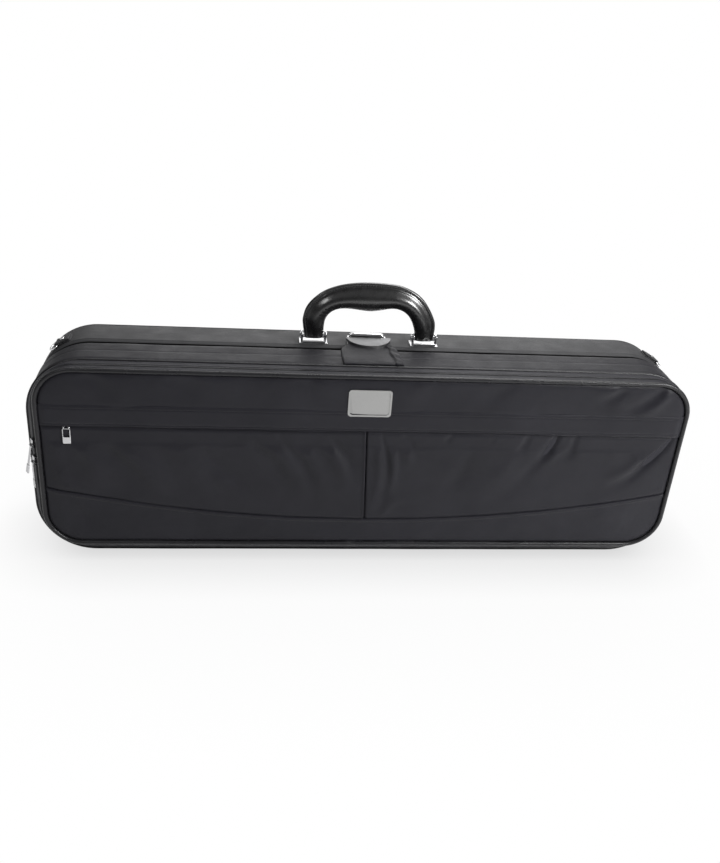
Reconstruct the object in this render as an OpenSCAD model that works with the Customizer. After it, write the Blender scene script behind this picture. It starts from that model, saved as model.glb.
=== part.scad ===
// Oblong violin case standing on its hinge spine.
// X runs along the length, +Y points to the back of the case, +Z up.
// The origin is under the middle of the case, on the surface it stands on.

/* [Case] */
// Overall length of the case along the spine
case_len = 800; // [790:1:810]
// Overall height of the case when it stands on its spine
case_h = 256; // [252:1:262]
// Corner radius of the case outline
corner_r = 68; // [64:1:72]
// Depth of the music pocket in front of the lid
pocket_d = 27.5; // [26:0.5:30]
// Depth of the lid, from the music pocket to the parting plane
lid_d = 40; // [38:1:44]
// Depth of the body, from the parting plane to the back
body_d = 71.5; // [70:0.5:78]

/* [Walls] */
// Thickness of the nylon cover with its backing foam
cover_t = 1.5; // [1.2:0.1:1.6]
// Thickness of the rigid foam shell in the side walls
shell_t = 9; // [8:0.5:10]
// Thickness of the rigid shell in the back
back_shell_t = 5; // [4:0.5:6]
// Thickness of the rigid shell in the face of the lid
lid_shell_t = 3; // [2.5:0.5:4]
// Thickness of the plush lining
lining_t = 2; // [1.5:0.5:2.5]
// Depth of the lip under the rain flap, where the main zip lies
lip = 5; // [5:0.5:6]
// Overlap of the rain flap past the parting plane
flap_over = 13; // [12:1:14]

/* [Front] */
// Half length of the piped front panel
panel_hl = 387.5; // [385:0.5:389]
// Lowest point of the front panel piping
panel_z0 = 22; // [20:1:26]
// Corner radius of the front panel
panel_r = 46; // [42:1:50]
// Thickness of the piping round the front panel
pipe_d = 5; // [4.5:0.5:5]
// Height of the free lower edge of the front zip flap
zip_flap_z0 = 184; // [183.5:0.5:186]
// Height of the stitched upper edge of the front zip flap
zip_flap_z1 = 210; // [208:1:213]
// Height of the yoke seam at the middle of the front
yoke_z = 61; // [56:1:66]
// Rise of the yoke seam from the middle to the ends
yoke_rise = 38; // [30:1:40]
// Width of the name plate
plate_w = 51; // [46:1:54]
// Height of the name plate
plate_h = 34; // [30:1:36]
// Offset of the name plate and the centre seam from the middle
off_x = -6; // [-10:1:10]

/* [Handle] */
// Rise of the handle above the top of the case
handle_rise = 76.5; // [72:0.5:82]
// Half length of the handle over its shoulders
handle_hl = 83; // [80:1:86]
// Distance of the handle from the parting plane
handle_dy = 35; // [34:1:37]
// Height of the handle pins above the top of the case
pin_rise = 10; // [9.5:0.5:11]
// Half spacing of the handle brackets
bracket_x = 69; // [68:0.5:70]
// Radius of the handle pins
handle_pin_r = 2; // [1.8:0.1:2.2]

/* [Fittings] */
// Distance of each spine hinge from the middle one
hinge_pitch = 240; // [200:5:260]
// Radius of the hinge pins
hinge_pin_r = 0.9; // [0.8:0.05:1]
// Running clearance round every pin
run_clear = 0.05; // [0.04:0.01:0.08]
// Angle of the D-ring tabs on the corners, from the horizontal
tab_ang = 52; // [48:1:56]
// Inside half width of the D-rings
dring_hw = 10; // [10:0.5:11]
// Radius of the D-ring wire
dring_r = 1.5; // [1.3:0.1:1.6]
// Outward lean of the upper pocket zip pull
pull_lean = 12; // [11:1:13]

/* [Hidden] */
$fn = 96;

hl = case_len / 2;
H = case_h;
R = corner_r;
yF = -(pocket_d + lid_d + body_d) / 2;   // front of the piping
yR = yF + pocket_d;                      // rim of the lid, where the pocket starts
yP = yR + lid_d;                         // parting plane
yB = yP + body_d;                        // back of the case
yS = yP + flap_over;                     // free edge of the rain flap
yS2 = yS + 2;                            // step of the body behind the flap
yL = yP - 12;                            // front edge of the lip in the lid
g = 0.2;                                 // half gap at the parting plane
wall = cover_t + shell_t + lining_t;
yBL = yB - cover_t - back_shell_t - lining_t;    // lining in the back
yLL = yR + 1.3 + cover_t + lid_shell_t + lining_t; // lining in the lid
lip_z = 30;                              // lower end of the lip at both ends
ax_z = 2.3;                              // height of the spine hinge axis
kn_r = 2;                                // radius of the hinge knuckles
hinge_w = 60;                            // width of each spine hinge
yZ = yF + 14.5;                          // pocket zip line
yG = yF + pipe_d;                        // front end of the gusset
ghl = panel_hl - 1.5;                    // gusset half length at the panel
gz0 = panel_z0 + 1.5;
gz1 = H - 1.5;
slope = atan((hl - ghl) / (yR - yG));    // lean of the gusset at the ends
zx = hl - (hl - ghl) * (yR - yZ) / (yR - yG); // half length at the zip line
zz = gz0 * (yR - yZ) / (yR - yG);        // lower edge at the zip line
yBed = yP + 24;                          // face of the instrument bed
zc = H / 2;                              // middle height
hy = yP + handle_dy;                     // plane of the handle
hz = H + pin_rise;                       // axis of the handle
fz_x = -352;                             // rest place of the front zip slider
fz_z = zip_flap_z0 - 1;                  // axis of the front zip pull
pin_y = yF + 2.15;
up_z = 155;                              // upper pocket slider
lo_z = 133;                              // lower pocket slider
fl_y = yR + 14;                          // hinge line of the closure flap
fl_z = H + 1.25;
box_x = 238.5;                           // inner wall of the accessory box
sp_x = 205;                              // bow spinners

// rounded outline in X and Z
module rr2(h, z0, z1, r) {
    translate([-h, z0 + r]) square([2 * h, z1 - z0 - 2 * r]);
    translate([-h + r, z0]) square([2 * (h - r), z1 - z0]);
    for (sx = [-1, 1], z = [z0 + r, z1 - r]) translate([sx * (h - r), z]) circle(r = r);
}
// the same outline as a slab from y0 to y1
module slab(h, z0, z1, r, y0, y1)
    translate([0, y1, 0]) rotate([90, 0, 0]) linear_extrude(y1 - y0) rr2(h, z0, z1, r);
// slab inset by i on every side
module ins(i, y0, y1) slab(hl - i, i, H - i, R - i, y0, y1);
// lip under the rain flap, inset by i: set back all round, full size below lip_z
module lip_solid(i, y0, y1) union() {
    ins(lip + i, y0, y1);
    intersection() {
        ins(i, y0, y1);
        box([-hl - 1, y0 - 1, -1], [hl + 1, y1 + 1, lip_z - i]);
    }
}
// box given by its two corners
module box(a, b) translate(a) cube([b[0] - a[0], b[1] - a[1], b[2] - a[2]]);
// V-groove along the spine at the hinge axis
module groove() translate([0, yP, 0]) rotate([45, 0, 0]) cube([2 * hl + 20, 8.49, 8.49], center = true);
// pockets for the hinge leaves
module leaf_pockets(s) for (i = [-1, 0, 1]) translate([i * hinge_pitch, yP, 0])
    box([-hinge_w / 2 - 0.5, s > 0 ? -2 : -1.6, -1], [hinge_w / 2 + 0.5, s > 0 ? 1.6 : 2, 12.2]);
// cylinder along X
module cx(r, x0, x1, y, z) translate([x0, y, z]) rotate([0, 90, 0]) cylinder(r = r, h = x1 - x0);
// cylinder along Y
module cy(r, y0, y1, x, z) translate([x, y1, z]) rotate([90, 0, 0]) cylinder(r = r, h = y1 - y0);

// ---------- body half ----------
module body_cover() color([0.16, 0.16, 0.18]) difference() {
    union() {
        ins(0, yS2, yB);
        lip_solid(0, yP + g, yS2 + 0.5);
    }
    ins(cover_t, yS2 + cover_t, yB - cover_t);
    lip_solid(cover_t, yP - 1, yS2 + cover_t + 0.5);
    groove();
    leaf_pockets(1);
}
module body_shell() color([0.75, 0.75, 0.72]) difference() {
    union() {
        ins(cover_t, yS2 + cover_t, yB - cover_t);
        lip_solid(cover_t, yP + g, yS2 + cover_t + 0.5);
    }
    ins(cover_t + shell_t, yP - 1, yB - cover_t - back_shell_t);
    groove();
    leaf_pockets(1);
}
module body_lining() color([0.42, 0.07, 0.12]) difference() {
    ins(cover_t + shell_t, yP + g, yB - cover_t - back_shell_t);
    ins(wall, yP - 1, yBL);
    leaf_pockets(1);
}
module violin2(c) {
    translate([-264, zc]) circle(r = 104 + c);
    translate([-100, zc]) circle(r = 84 + c);
    translate([-262, zc - 60 - c]) square([160, 120 + 2 * c]);
}
// padding round the violin between two heights
module bed_half(z0, z1) difference() {
    intersection() {
        ins(wall, yBed, yBL - 2);
        box([-hl, yBed - 1, z0], [box_x - 0.5, yBL + 1, z1]);
    }
    translate([0, yBL + 2, 0]) rotate([90, 0, 0]) linear_extrude(80) violin2(4);
    box([-20, yBed - 5, zc - 36], [box_x + 1, yBL + 2, zc + 36]);
    box([126, yBed - 5, zc - 60], [box_x - 12, yBL + 2, zc + 60]);
}
module bed_upper() color([0.48, 0.08, 0.14]) bed_half(zc, H);
module bed_lower() color([0.48, 0.08, 0.14]) bed_half(0, zc);
module bed_floor() color([0.45, 0.08, 0.13]) intersection() {
    ins(wall, yBL - 2, yBL);
    box([-hl, yBed - 1, 0], [box_x - 0.5, yBL + 1, H]);
}
module pad(x0, x1, hz_, d) intersection() {
    box([x0, yBL - 2 - d, zc - hz_], [x1, yBL - 2, zc + hz_]);
    cy(hz_ * 1.12, yBL - 40, yBL, (x0 + x1) / 2, zc);
}
module suspension_pads() color([0.55, 0.1, 0.16]) {
    pad(-358, -326, 52, 14);
    pad(-52, -24, 34, 14);
}
module neck_cradle() color([0.55, 0.1, 0.16]) difference() {
    box([86, yBed + 4, zc - 36], [122, yBL - 2, zc + 36]);
    cx(15, 80, 130, yBed + 16, zc);
    box([80, yBed - 5, zc - 15], [130, yBed + 16, zc + 15]);
}
module neck_strap() color([0.12, 0.12, 0.13]) {
    box([94, yBed - 1.8, zc - 50], [114, yBed, zc + 50]);
}
module accessory_box() color([0.44, 0.07, 0.13]) difference() {
    intersection() {
        ins(wall, yP + 8, yBL);
        box([box_x, yP, 0], [hl, yB, H]);
    }
    intersection() {
        ins(wall + 4, yP, yBL - 4);
        box([box_x + 4, yP - 1, 0], [hl, yB, H]);
    }
}
module knuckles(list, s) for (i = [-1, 0, 1]) translate([i * hinge_pitch, yP, ax_z]) difference() {
    union() {
        box([-hinge_w / 2, s > 0 ? 0.25 : -1.45, 2.6], [hinge_w / 2, s > 0 ? 1.45 : -0.25, 9.2]);
        for (k = list) translate([-hinge_w / 2 + k * 12, 0, 0]) {
            cx(kn_r, 0.15, 11.85, 0, 0);
            box([0.15, s > 0 ? 0.25 : -1.45, 0], [11.85, s > 0 ? 1.45 : -0.25, 3]);
        }
    }
    cx(hinge_pin_r + run_clear, -hinge_w, hinge_w, 0, 0);
}
module hinge_leaves_body() color([0.7, 0.7, 0.72]) knuckles([0, 2, 4], 1);
module hinge_pins() color([0.75, 0.75, 0.77])
    for (i = [-1, 0, 1]) cx(hinge_pin_r, i * hinge_pitch - 30, i * hinge_pitch + 30, yP, ax_z);
// one side of the main zip, from y0 to y1 with its coil from c0 to c1
module zip_band(y0, y1, c0, c1) intersection() {
    difference() {
        union() {
            ins(lip - 0.8, y0, y1);
            ins(lip - 1.6, c0, c1);
        }
        ins(lip, y0 - 1, y1 + 1);
    }
    box([-hl, y0 - 1, lip_z + 4], [hl, y1 + 1, H]);
}
module main_zip_body() color([0.08, 0.08, 0.09]) zip_band(yP + g, yP + 10, yP + g, yP + 2);
// U bracket with its two ears
module bracket(x) translate([x, hy, H]) {
    box([-17, -8, 0], [17, 8, 1.5]);
    for (s = [-1, 1]) difference() {
        union() {
            box([s > 0 ? 8.6 : -12.1, -5, 0.5], [s > 0 ? 12.1 : -8.6, 5, pin_rise]);
            cx(5, s > 0 ? 8.6 : -12.1, s > 0 ? 12.1 : -8.6, 0, pin_rise);
        }
        cx(handle_pin_r + 0.02, -15, 15, 0, pin_rise);
    }
}
module handle_brackets() color([0.82, 0.82, 0.84]) for (s = [-1, 1]) bracket(s * bracket_x);
module handle_pins() color([0.85, 0.85, 0.87])
    for (s = [-1, 1]) cx(handle_pin_r, s * bracket_x - 13, s * bracket_x + 13, hy, hz);
module handle_rivets() color([0.8, 0.8, 0.82]) for (s = [-1, 1], t = [-1, 1])
    translate([s * bracket_x + t * 14.6, hy, H + 1.5]) cylinder(r = 2, h = 0.9);
module latch_base() color([0.5, 0.5, 0.52]) difference() {
    union() {
        box([-27, yP + 26, H], [25, yP + 48, H + 1.2]);
        box([-26, yP + 39, H + 1], [22, yP + 46, H + 5]);
    }
    box([-24, yP + 40.2, H + 1.6], [20, yP + 44.8, H + 8]);
}
// frame on the right-hand corner: +Z outward, +X down along the corner
module at_corner() translate([hl - R, hy + 1, H - R]) rotate([0, 90 - tab_ang, 0]) children();
module both() { children(); mirror([1, 0, 0]) children(); }
module tab() difference() {
    at_corner() difference() {
        union() {
            box([-17, -9, R - 3], [0, 9, R + 4.2]);
            translate([0, 9, R + 2.4]) rotate([90, 0, 0]) cylinder(r = 3, h = 18);
        }
        translate([0, 15, R + 2.4]) rotate([90, 0, 0]) cylinder(r = dring_r + run_clear, h = 30);
    }
    slab(hl + 0.02, 0, H + 0.02, R + 0.02, yP, yB + 5);
}
module d_ring_tabs() color([0.1, 0.1, 0.11]) both() tab();
module tab_rivets() color([0.8, 0.8, 0.82]) both() at_corner()
    translate([-8, 0, R + 4.2]) cylinder(r = 3.2, h = 0.9);

// ---------- lid half ----------
module lid_cover() color([0.17, 0.17, 0.19]) difference() {
    union() {
        ins(0, yR + 1.3, yL);
        lip_solid(0, yL - 0.5, yP - g);
    }
    ins(cover_t, yR + 1.3 + cover_t, yL - cover_t);
    lip_solid(cover_t, yL - cover_t - 0.5, yP + 1);
    groove();
    leaf_pockets(-1);
}
module lid_shell() color([0.75, 0.75, 0.72]) difference() {
    union() {
        ins(cover_t, yR + 1.3 + cover_t, yL - cover_t);
        lip_solid(cover_t, yL - cover_t - 0.5, yP - g);
    }
    ins(cover_t + shell_t, yLL - lining_t, yP + 1);
    groove();
    leaf_pockets(-1);
}
module lid_lining() color([0.42, 0.07, 0.12]) difference() {
    ins(cover_t + shell_t, yLL - lining_t, yP - g);
    ins(wall, yLL, yP + 1);
    leaf_pockets(-1);
}
module rain_flap() color([0.17, 0.17, 0.19]) intersection() {
    difference() {
        ins(0, yL, yS);
        ins(1.2, yL - 1, yS + 1);
    }
    box([-hl - 1, yL - 2, lip_z + 0.4], [hl + 1, yS + 2, H + 1]);
}
module lid_rim_piping() color([0.2, 0.2, 0.22]) difference() {
    ins(0, yR - 1.2, yR + 1.3);
    ins(2, yR - 2, yR + 2);
}
// tapered side band of the music pocket, inset i, thickness t, from y0 to y1
module gusset_solid(i) hull() {
    slab(hl - i, i, H - i, R - i, yR - 0.01, yR, $fn = 64);
    slab(ghl - i, gz0 + i, gz1 - i, panel_r - 1.5 - i, yG, yG + 0.01, $fn = 64);
}
module gusset(i, t, y0, y1) intersection() {
    difference() {
        gusset_solid(i);
        gusset_solid(i + t);
    }
    box([-hl - 5, y0, -5], [hl + 5, y1, H + 5]);
}
module pocket_gusset_rear() color([0.15, 0.15, 0.17]) gusset(0, 1.5, yZ + 2, yR - 1.2);
module pocket_zip_rear() color([0.07, 0.07, 0.08]) gusset(0.3, 0.9, yZ + 0.2, yZ + 2);
module hinge_leaves_lid() color([0.7, 0.7, 0.72]) knuckles([1, 3], -1);
module main_zip_lid() color([0.08, 0.08, 0.09]) zip_band(yP - 9, yP - g, yP - 2, yP - g);
module bow_tip_pockets() color([0.12, 0.12, 0.13]) for (z = [zc - 36, zc + 36]) difference() {
    box([-352, yLL, z - 13], [-306, yLL + 12, z + 13]);
    box([-346, yLL + 3, z - 9], [-300, yLL + 9, z + 9]);
}
module spinner_posts() color([0.1, 0.1, 0.11]) for (z = [zc - 36, zc + 36]) union() {
    cy(9, yLL, yLL + 1.6, sp_x, z);
    cy(3.6, yLL + 1.5, yLL + 14, sp_x, z);
    cy(2, yLL + 13, yLL + 20.5, sp_x, z);
    cy(3.4, yLL + 20.5, yLL + 21.5, sp_x, z);
}
// ---------- front panel of the music pocket ----------
module panel_slab(i, y0, y1)
    slab(panel_hl - i, panel_z0 + i, H - 0.3 - i, panel_r - i, y0, y1);
module panel_board() color([0.2, 0.2, 0.22]) panel_slab(pipe_d, yF + 4.6, yF + 6.4);
module panel_piping() color([0.22, 0.22, 0.24]) difference() {
    panel_slab(0, yF, yF + pipe_d);
    panel_slab(pipe_d, yF - 1, yF + pipe_d + 1);
}
module pocket_gusset_front() color([0.15, 0.15, 0.17]) gusset(0, 1.5, yF + pipe_d, yZ - 2);
module pocket_zip_front() color([0.07, 0.07, 0.08]) gusset(0.3, 0.9, yZ - 2, yZ - 0.2);
// yoke seam, a shallow parabola
function seam(x) = yoke_z + yoke_rise * pow(x / 372, 2);
function seam_pts(x0, x1, n) = [for (k = [0 : n]) let (x = x0 + (x1 - x0) * k / n) [x, seam(x)]];
module front_cloth(x0, x1) intersection() {
    panel_slab(pipe_d, yF + 3, yF + 4.4);
    translate([0, yF + 10, 0]) rotate([90, 0, 0]) linear_extrude(20)
        polygon(concat(seam_pts(x0, x1, 16), [[x1, zip_flap_z0 + 2], [x0, zip_flap_z0 + 2]]));
}
module pocket_cloth_left() color([0.18, 0.18, 0.2]) front_cloth(-hl, off_x - 0.15);
module pocket_cloth_right() color([0.18, 0.18, 0.2]) front_cloth(off_x + 0.15, hl);
module panel_yoke() color([0.16, 0.16, 0.18]) intersection() {
    panel_slab(pipe_d, yF + 3, yF + 4.4);
    translate([0, yF + 10, 0]) rotate([90, 0, 0]) linear_extrude(20)
        polygon(concat([for (p = seam_pts(-hl, hl, 32)) [p[0], p[1] - 0.3]], [[hl, 0], [-hl, 0]]));
}
module panel_top_cloth() color([0.18, 0.18, 0.2]) intersection() {
    panel_slab(pipe_d, yF + 3, yF + 4.4);
    box([-hl, yF, zip_flap_z0 + 18], [hl, yF + 10, H]);
}
module front_zip_flap() color([0.17, 0.17, 0.19]) difference() {
    intersection() {
        panel_slab(pipe_d + 0.3, yF - 1, yF + 5);
        union() {
            box([-hl, yF, zip_flap_z0], [hl, yF + 0.9, zip_flap_z1]);
            box([-hl, yF + 0.5, zip_flap_z1 - 5], [hl, yF + 3, zip_flap_z1]);
        }
    }
    box([off_x - plate_w / 2 - 0.3, yF - 1, zip_flap_z1 - 6.8], [off_x + plate_w / 2 + 0.3, yF + 4, H]);
}
module front_zip() color([0.06, 0.06, 0.07]) {
    box([-366, yF + 3.8, zip_flap_z0 + 2], [366, yF + 4.4, zip_flap_z0 + 18]);
    box([-362, yF + 3.4, zip_flap_z0 + 8.5], [362, yF + 3.8, zip_flap_z0 + 11.5]);
}
module plate2(i) {
    w = plate_w / 2 - i; h = plate_h / 2 - i;
    square([2 * w, 2 * h - 8], center = true);
    square([2 * w - 8, 2 * h], center = true);
    for (a = [-1, 1], b = [-1, 1]) translate([a * (w - 4), b * (h - 4)]) circle(r = 4);
}
module name_plate() color([0.6, 0.6, 0.6])
    translate([off_x, yF + 3, zip_flap_z1 - 6.5 + plate_h / 2]) rotate([90, 0, 0]) difference() {
        linear_extrude(2.6) plate2(0);
        translate([0, 0, 1.9]) linear_extrude(2) plate2(2.2);
    }

// ---------- zip sliders and pulls ----------
// lugs and pin that carry a pull; pin along X at the origin
module lugs(w, r) {
    for (s = [-1, 1]) cx(r, s > 0 ? w : -w - 1, s > 0 ? w + 1 : -w, 0, 0);
    cx(0.38, -w - 1, w + 1, 0, 0);
}
module front_zip_slider() color([0.25, 0.25, 0.27]) union() {
    box([fz_x - 6, yF + 1.8, fz_z + 4], [fz_x + 6, yF + 3.1, fz_z + 15]);
    for (s = [-1, 1]) box([fz_x + (s > 0 ? 3 : -4), yF + 1.7, fz_z], [fz_x + (s > 0 ? 4 : -3), yF + 2.6, fz_z + 5]);
    translate([fz_x, pin_y, fz_z]) lugs(3, 0.8);
}
module front_zip_pull() color([0.85, 0.85, 0.87]) difference() {
    union() {
        box([fz_x - 4.5, yF + 1.7, fz_z - 21], [fz_x + 4.5, yF + 2.6, fz_z - 2]);
        box([fz_x - 2.6, yF + 1.7, fz_z - 3], [fz_x + 2.6, yF + 2.6, fz_z]);
        cx(0.85, fz_x - 2.6, fz_x + 2.6, pin_y, fz_z);
    }
    cx(0.38 + run_clear, fz_x - 9, fz_x + 9, pin_y, fz_z);
    box([fz_x - 3, yF, fz_z - 12], [fz_x + 3, yF + 4, fz_z - 5]);
}
// frame on the left-hand end of the pocket zip: -X outward, Y across the zip
module at_zip(z) translate([-zx, yZ, z]) rotate([0, 0, slope]) children();
module pslider(z) at_zip(z) union() {
    box([-3.2, -4, -5], [-0.4, 4, 5]);
    for (s = [-1, 1]) translate([-4.6, s > 0 ? 2.6 : -3.6, -3]) {
        translate([0, 1, 0]) rotate([90, 0, 0]) cylinder(r = 1, h = 1);
        box([0, 0, -1], [1.6, 1, 1]);
    }
    translate([-4.6, 3, -3]) rotate([90, 0, 0]) cylinder(r = 0.45, h = 6);
}
module ppull(z, lean, len) at_zip(z) translate([-4.6, 0, -3]) rotate([0, lean, 0]) difference() {
    union() {
        translate([0, 2.2, 0]) rotate([90, 0, 0]) cylinder(r = 1.1, h = 4.4);
        box([-0.5, -2.2, -len], [0.5, 2.2, 0]);
        box([-0.8, -3.2, -len - 1], [0.8, 3.2, -len + 9]);
    }
    translate([0, 5, 0]) rotate([90, 0, 0]) cylinder(r = 0.45 + run_clear, h = 10);
}
module pocket_slider_upper() color([0.5, 0.5, 0.52]) pslider(up_z);
module pocket_pull_upper() color([0.7, 0.7, 0.72]) ppull(up_z, pull_lean, 33);
module pocket_slider_lower() color([0.5, 0.5, 0.52]) pslider(lo_z);
module pocket_pull_lower() color([0.7, 0.7, 0.72]) ppull(lo_z, 0, 32);
module mslider(s) {
    box([s * 8 - 6, yP - 4, H - lip + 1.9], [s * 8 + 6, yP + 4, H - 1.5]);
    box([s > 0 ? 13 : -34, yP - 2.2, H - lip + 2.1], [s > 0 ? 34 : -13, yP + 2.2, H - lip + 3.1]);
}
module main_slider_left() color([0.5, 0.5, 0.52]) mslider(-1);
module main_slider_right() color([0.5, 0.5, 0.52]) mslider(1);

// ---------- closure ----------
module moon(r, y1) intersection() {
    translate([0, yP + 39.2]) circle(r = r);
    translate([-60, 0]) square([120, y1]);
}
module closure_flap() color([0.14, 0.14, 0.16]) union() {
    box([-36, fl_y + 0.4, H + 0.5], [36, yP + 9, H + 2]);
    translate([0, 0, H + 0.5]) linear_extrude(1.5) difference() {
        translate([-36, yP + 8]) square([72, 14]);
        translate([0, yP + 39.2]) circle(r = 27.2);
    }
}
module clasp_plate() color([0.6, 0.6, 0.62]) difference() {
    translate([0, 0, H + 2]) linear_extrude(4) moon(29.2, yP + 38);
    translate([0, 0, H + 1]) linear_extrude(3.4) moon(27.6, yP + 60);
}
module latch_button() color([0.88, 0.88, 0.9])
    box([-23.5, yP + 40.6, H + 4], [19.5, yP + 44.4, H + 9]);

// ---------- handle ----------
function sgn(v) = v < 0 ? -1 : 1;
function arch(a, b, n, k) = [for (i = [0 : k]) let (t = 180 * i / k)
    [a * sgn(cos(t)) * pow(abs(cos(t)), 2 / n), b * pow(abs(sin(t)), 2 / n)]];
module handle_grip() color([0.07, 0.07, 0.08]) difference() {
    union() {
        translate([0, hy + 8, 0]) rotate([90, 0, 0]) linear_extrude(16) difference() {
            translate([0, hz - 4]) polygon(arch(handle_hl, handle_rise - pin_rise + 4, 2.8, 48));
            translate([0, hz - 4]) polygon(arch(56, handle_rise - pin_rise - 30, 4, 32));
            translate([-120, hz - 20]) square([240, 31]);
        }
        for (s = [-1, 1]) {
            box([s * bracket_x - 7.9, hy - 6, hz], [s * bracket_x + 7.9, hy + 6, hz + 12]);
            cx(6, s * bracket_x - 7.9, s * bracket_x + 7.9, hy, hz);
        }
    }
    cx(handle_pin_r + run_clear, -110, 110, hy, hz);
}
// ---------- D-rings ----------
module ring() at_corner() translate([0, 0, R + 2.4]) union() {
    translate([0, dring_hw + dring_r, 0]) rotate([90, 0, 0]) cylinder(r = dring_r, h = 2 * (dring_hw + dring_r));
    rotate([0, 0, -90]) rotate_extrude(angle = 180) translate([dring_hw + dring_r, 0]) circle(r = dring_r);
    for (s = [-1, 1]) translate([0, s * (dring_hw + dring_r), 0]) sphere(r = dring_r);
}
module d_ring_right() color([0.8, 0.8, 0.82]) ring();
module d_ring_left() color([0.8, 0.8, 0.82]) mirror([1, 0, 0]) ring();

// ---------- inside ----------
module accessory_lid() color([0.5, 0.09, 0.15]) intersection() {
    ins(wall + 2, yP + 4.6, yP + 7.6);
    box([box_x + 2.5, yP, 0], [hl, yP + 20, H]);
}
module accessory_tab() color([0.12, 0.12, 0.13]) box([358, yP + 3.6, zc - 7], [378, yP + 4.6, zc + 7]);
module spinner(z) difference() {
    union() {
        cy(7, yLL + 14.4, yLL + 20.1, sp_x, z);
        box([sp_x - 22, yLL + 15, z - 5], [sp_x + 22, yLL + 19.6, z + 5]);
        for (s = [-1, 1]) cy(5, yLL + 15, yLL + 19.6, sp_x + s * 22, z);
    }
    cy(2 + run_clear, yLL + 10, yLL + 30, sp_x, z);
}
module bow_spinner_upper() color([0.1, 0.1, 0.11]) spinner(zc + 36);
module bow_spinner_lower() color([0.1, 0.1, 0.11]) spinner(zc - 36);

body_cover();
body_shell();
body_lining();
bed_floor();
bed_upper();
bed_lower();
suspension_pads();
neck_cradle();
neck_strap();
accessory_box();
hinge_leaves_body();
hinge_pins();
main_zip_body();
handle_brackets();
handle_pins();
handle_rivets();
latch_base();
d_ring_tabs();
tab_rivets();
lid_cover();
lid_shell();
lid_lining();
rain_flap();
lid_rim_piping();
pocket_gusset_rear();
pocket_zip_rear();
hinge_leaves_lid();
main_zip_lid();
bow_tip_pockets();
spinner_posts();
panel_board();
panel_piping();
pocket_gusset_front();
pocket_zip_front();
pocket_cloth_left();
pocket_cloth_right();
panel_yoke();
panel_top_cloth();
front_zip_flap();
front_zip();
name_plate();
front_zip_slider();
front_zip_pull();
pocket_slider_upper();
pocket_pull_upper();
pocket_slider_lower();
pocket_pull_lower();
main_slider_left();
main_slider_right();
closure_flap();
clasp_plate();
latch_button();
handle_grip();
d_ring_left();
d_ring_right();
accessory_lid();
accessory_tab();
bow_spinner_upper();
bow_spinner_lower();
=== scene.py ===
import bpy, bmesh, math
import numpy as np
from mathutils import Vector, Matrix, noise


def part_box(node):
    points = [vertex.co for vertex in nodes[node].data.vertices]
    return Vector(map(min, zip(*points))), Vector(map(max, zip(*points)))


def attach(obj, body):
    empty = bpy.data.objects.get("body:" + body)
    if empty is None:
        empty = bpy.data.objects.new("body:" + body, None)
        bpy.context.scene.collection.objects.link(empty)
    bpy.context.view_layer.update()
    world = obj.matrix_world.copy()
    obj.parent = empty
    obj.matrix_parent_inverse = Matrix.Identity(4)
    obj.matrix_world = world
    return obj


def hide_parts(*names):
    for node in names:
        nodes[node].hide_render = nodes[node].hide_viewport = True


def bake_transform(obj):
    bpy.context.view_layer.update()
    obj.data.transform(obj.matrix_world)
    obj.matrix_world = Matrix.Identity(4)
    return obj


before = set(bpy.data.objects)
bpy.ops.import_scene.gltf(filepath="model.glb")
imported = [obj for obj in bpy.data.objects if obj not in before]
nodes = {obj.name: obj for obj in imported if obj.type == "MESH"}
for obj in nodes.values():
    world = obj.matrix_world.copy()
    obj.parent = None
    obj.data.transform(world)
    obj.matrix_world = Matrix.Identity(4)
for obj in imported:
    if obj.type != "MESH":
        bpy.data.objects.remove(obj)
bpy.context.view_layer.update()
S = bpy.context.scene
S.view_settings.view_transform = "Standard"
MM = 0.001


def bx(n):
    a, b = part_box(n)
    return np.array(a) * 1000, np.array(b) * 1000


# ------------------------------------------------------------------ measures, mm
HL, H, YB = bx("body_cover")[1][0], bx("body_cover")[1][2], bx("body_cover")[1][1]
R = 68.0
YF = bx("panel_piping")[0][1]
PHL = bx("panel_piping")[1][0]
PZ0, PZ1, PR = bx("panel_piping")[0][2], bx("panel_piping")[1][2], 46.0
YR = bx("pocket_gusset_rear")[1][1] + 1.2
YG = bx("pocket_gusset_front")[0][1]
YZ = (bx("pocket_zip_rear")[0][1] + bx("pocket_zip_front")[1][1]) / 2
YP = -2.0
YFL0, YFL1 = bx("rain_flap")[0][1], bx("rain_flap")[1][1]
LIPZ = bx("rain_flap")[0][2]
LIP = 5.0
WALL = 12.5
YBL, YLL = 61.0, -34.2
GHL, GZ0, GZ1, GR = 386.0, 23.5, H - 1.5, PR - 1.5
YG0 = -64.5
ZC = H / 2
FZ0, FZ1 = bx("front_zip_flap")[0][2], bx("front_zip_flap")[1][2]
PLA, PLB = bx("name_plate")
SEAMX = (PLA[0] + PLB[0]) / 2
YCL = YF + 3.0  # face of the front cloth


def seam_z(x):
    return 61 + 38 * (np.asarray(x) / 372.0) ** 2


# ------------------------------------------------------------------ materials
def node(nt, kind, **kw):
    n = nt.nodes.new(kind)
    for k, v in kw.items():
        setattr(n, k, v)
    return n


def start_mat(name):
    m = bpy.data.materials.new(name)
    m.use_nodes = True
    nt = m.node_tree
    for n in list(nt.nodes):
        nt.nodes.remove(n)
    out = node(nt, "ShaderNodeOutputMaterial")
    b = node(nt, "ShaderNodeBsdfPrincipled")
    nt.links.new(b.outputs[0], out.inputs[0])
    tc = node(nt, "ShaderNodeTexCoord")
    return m, nt, b, tc


def lk(nt, a, b):
    nt.links.new(a, b)


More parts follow.
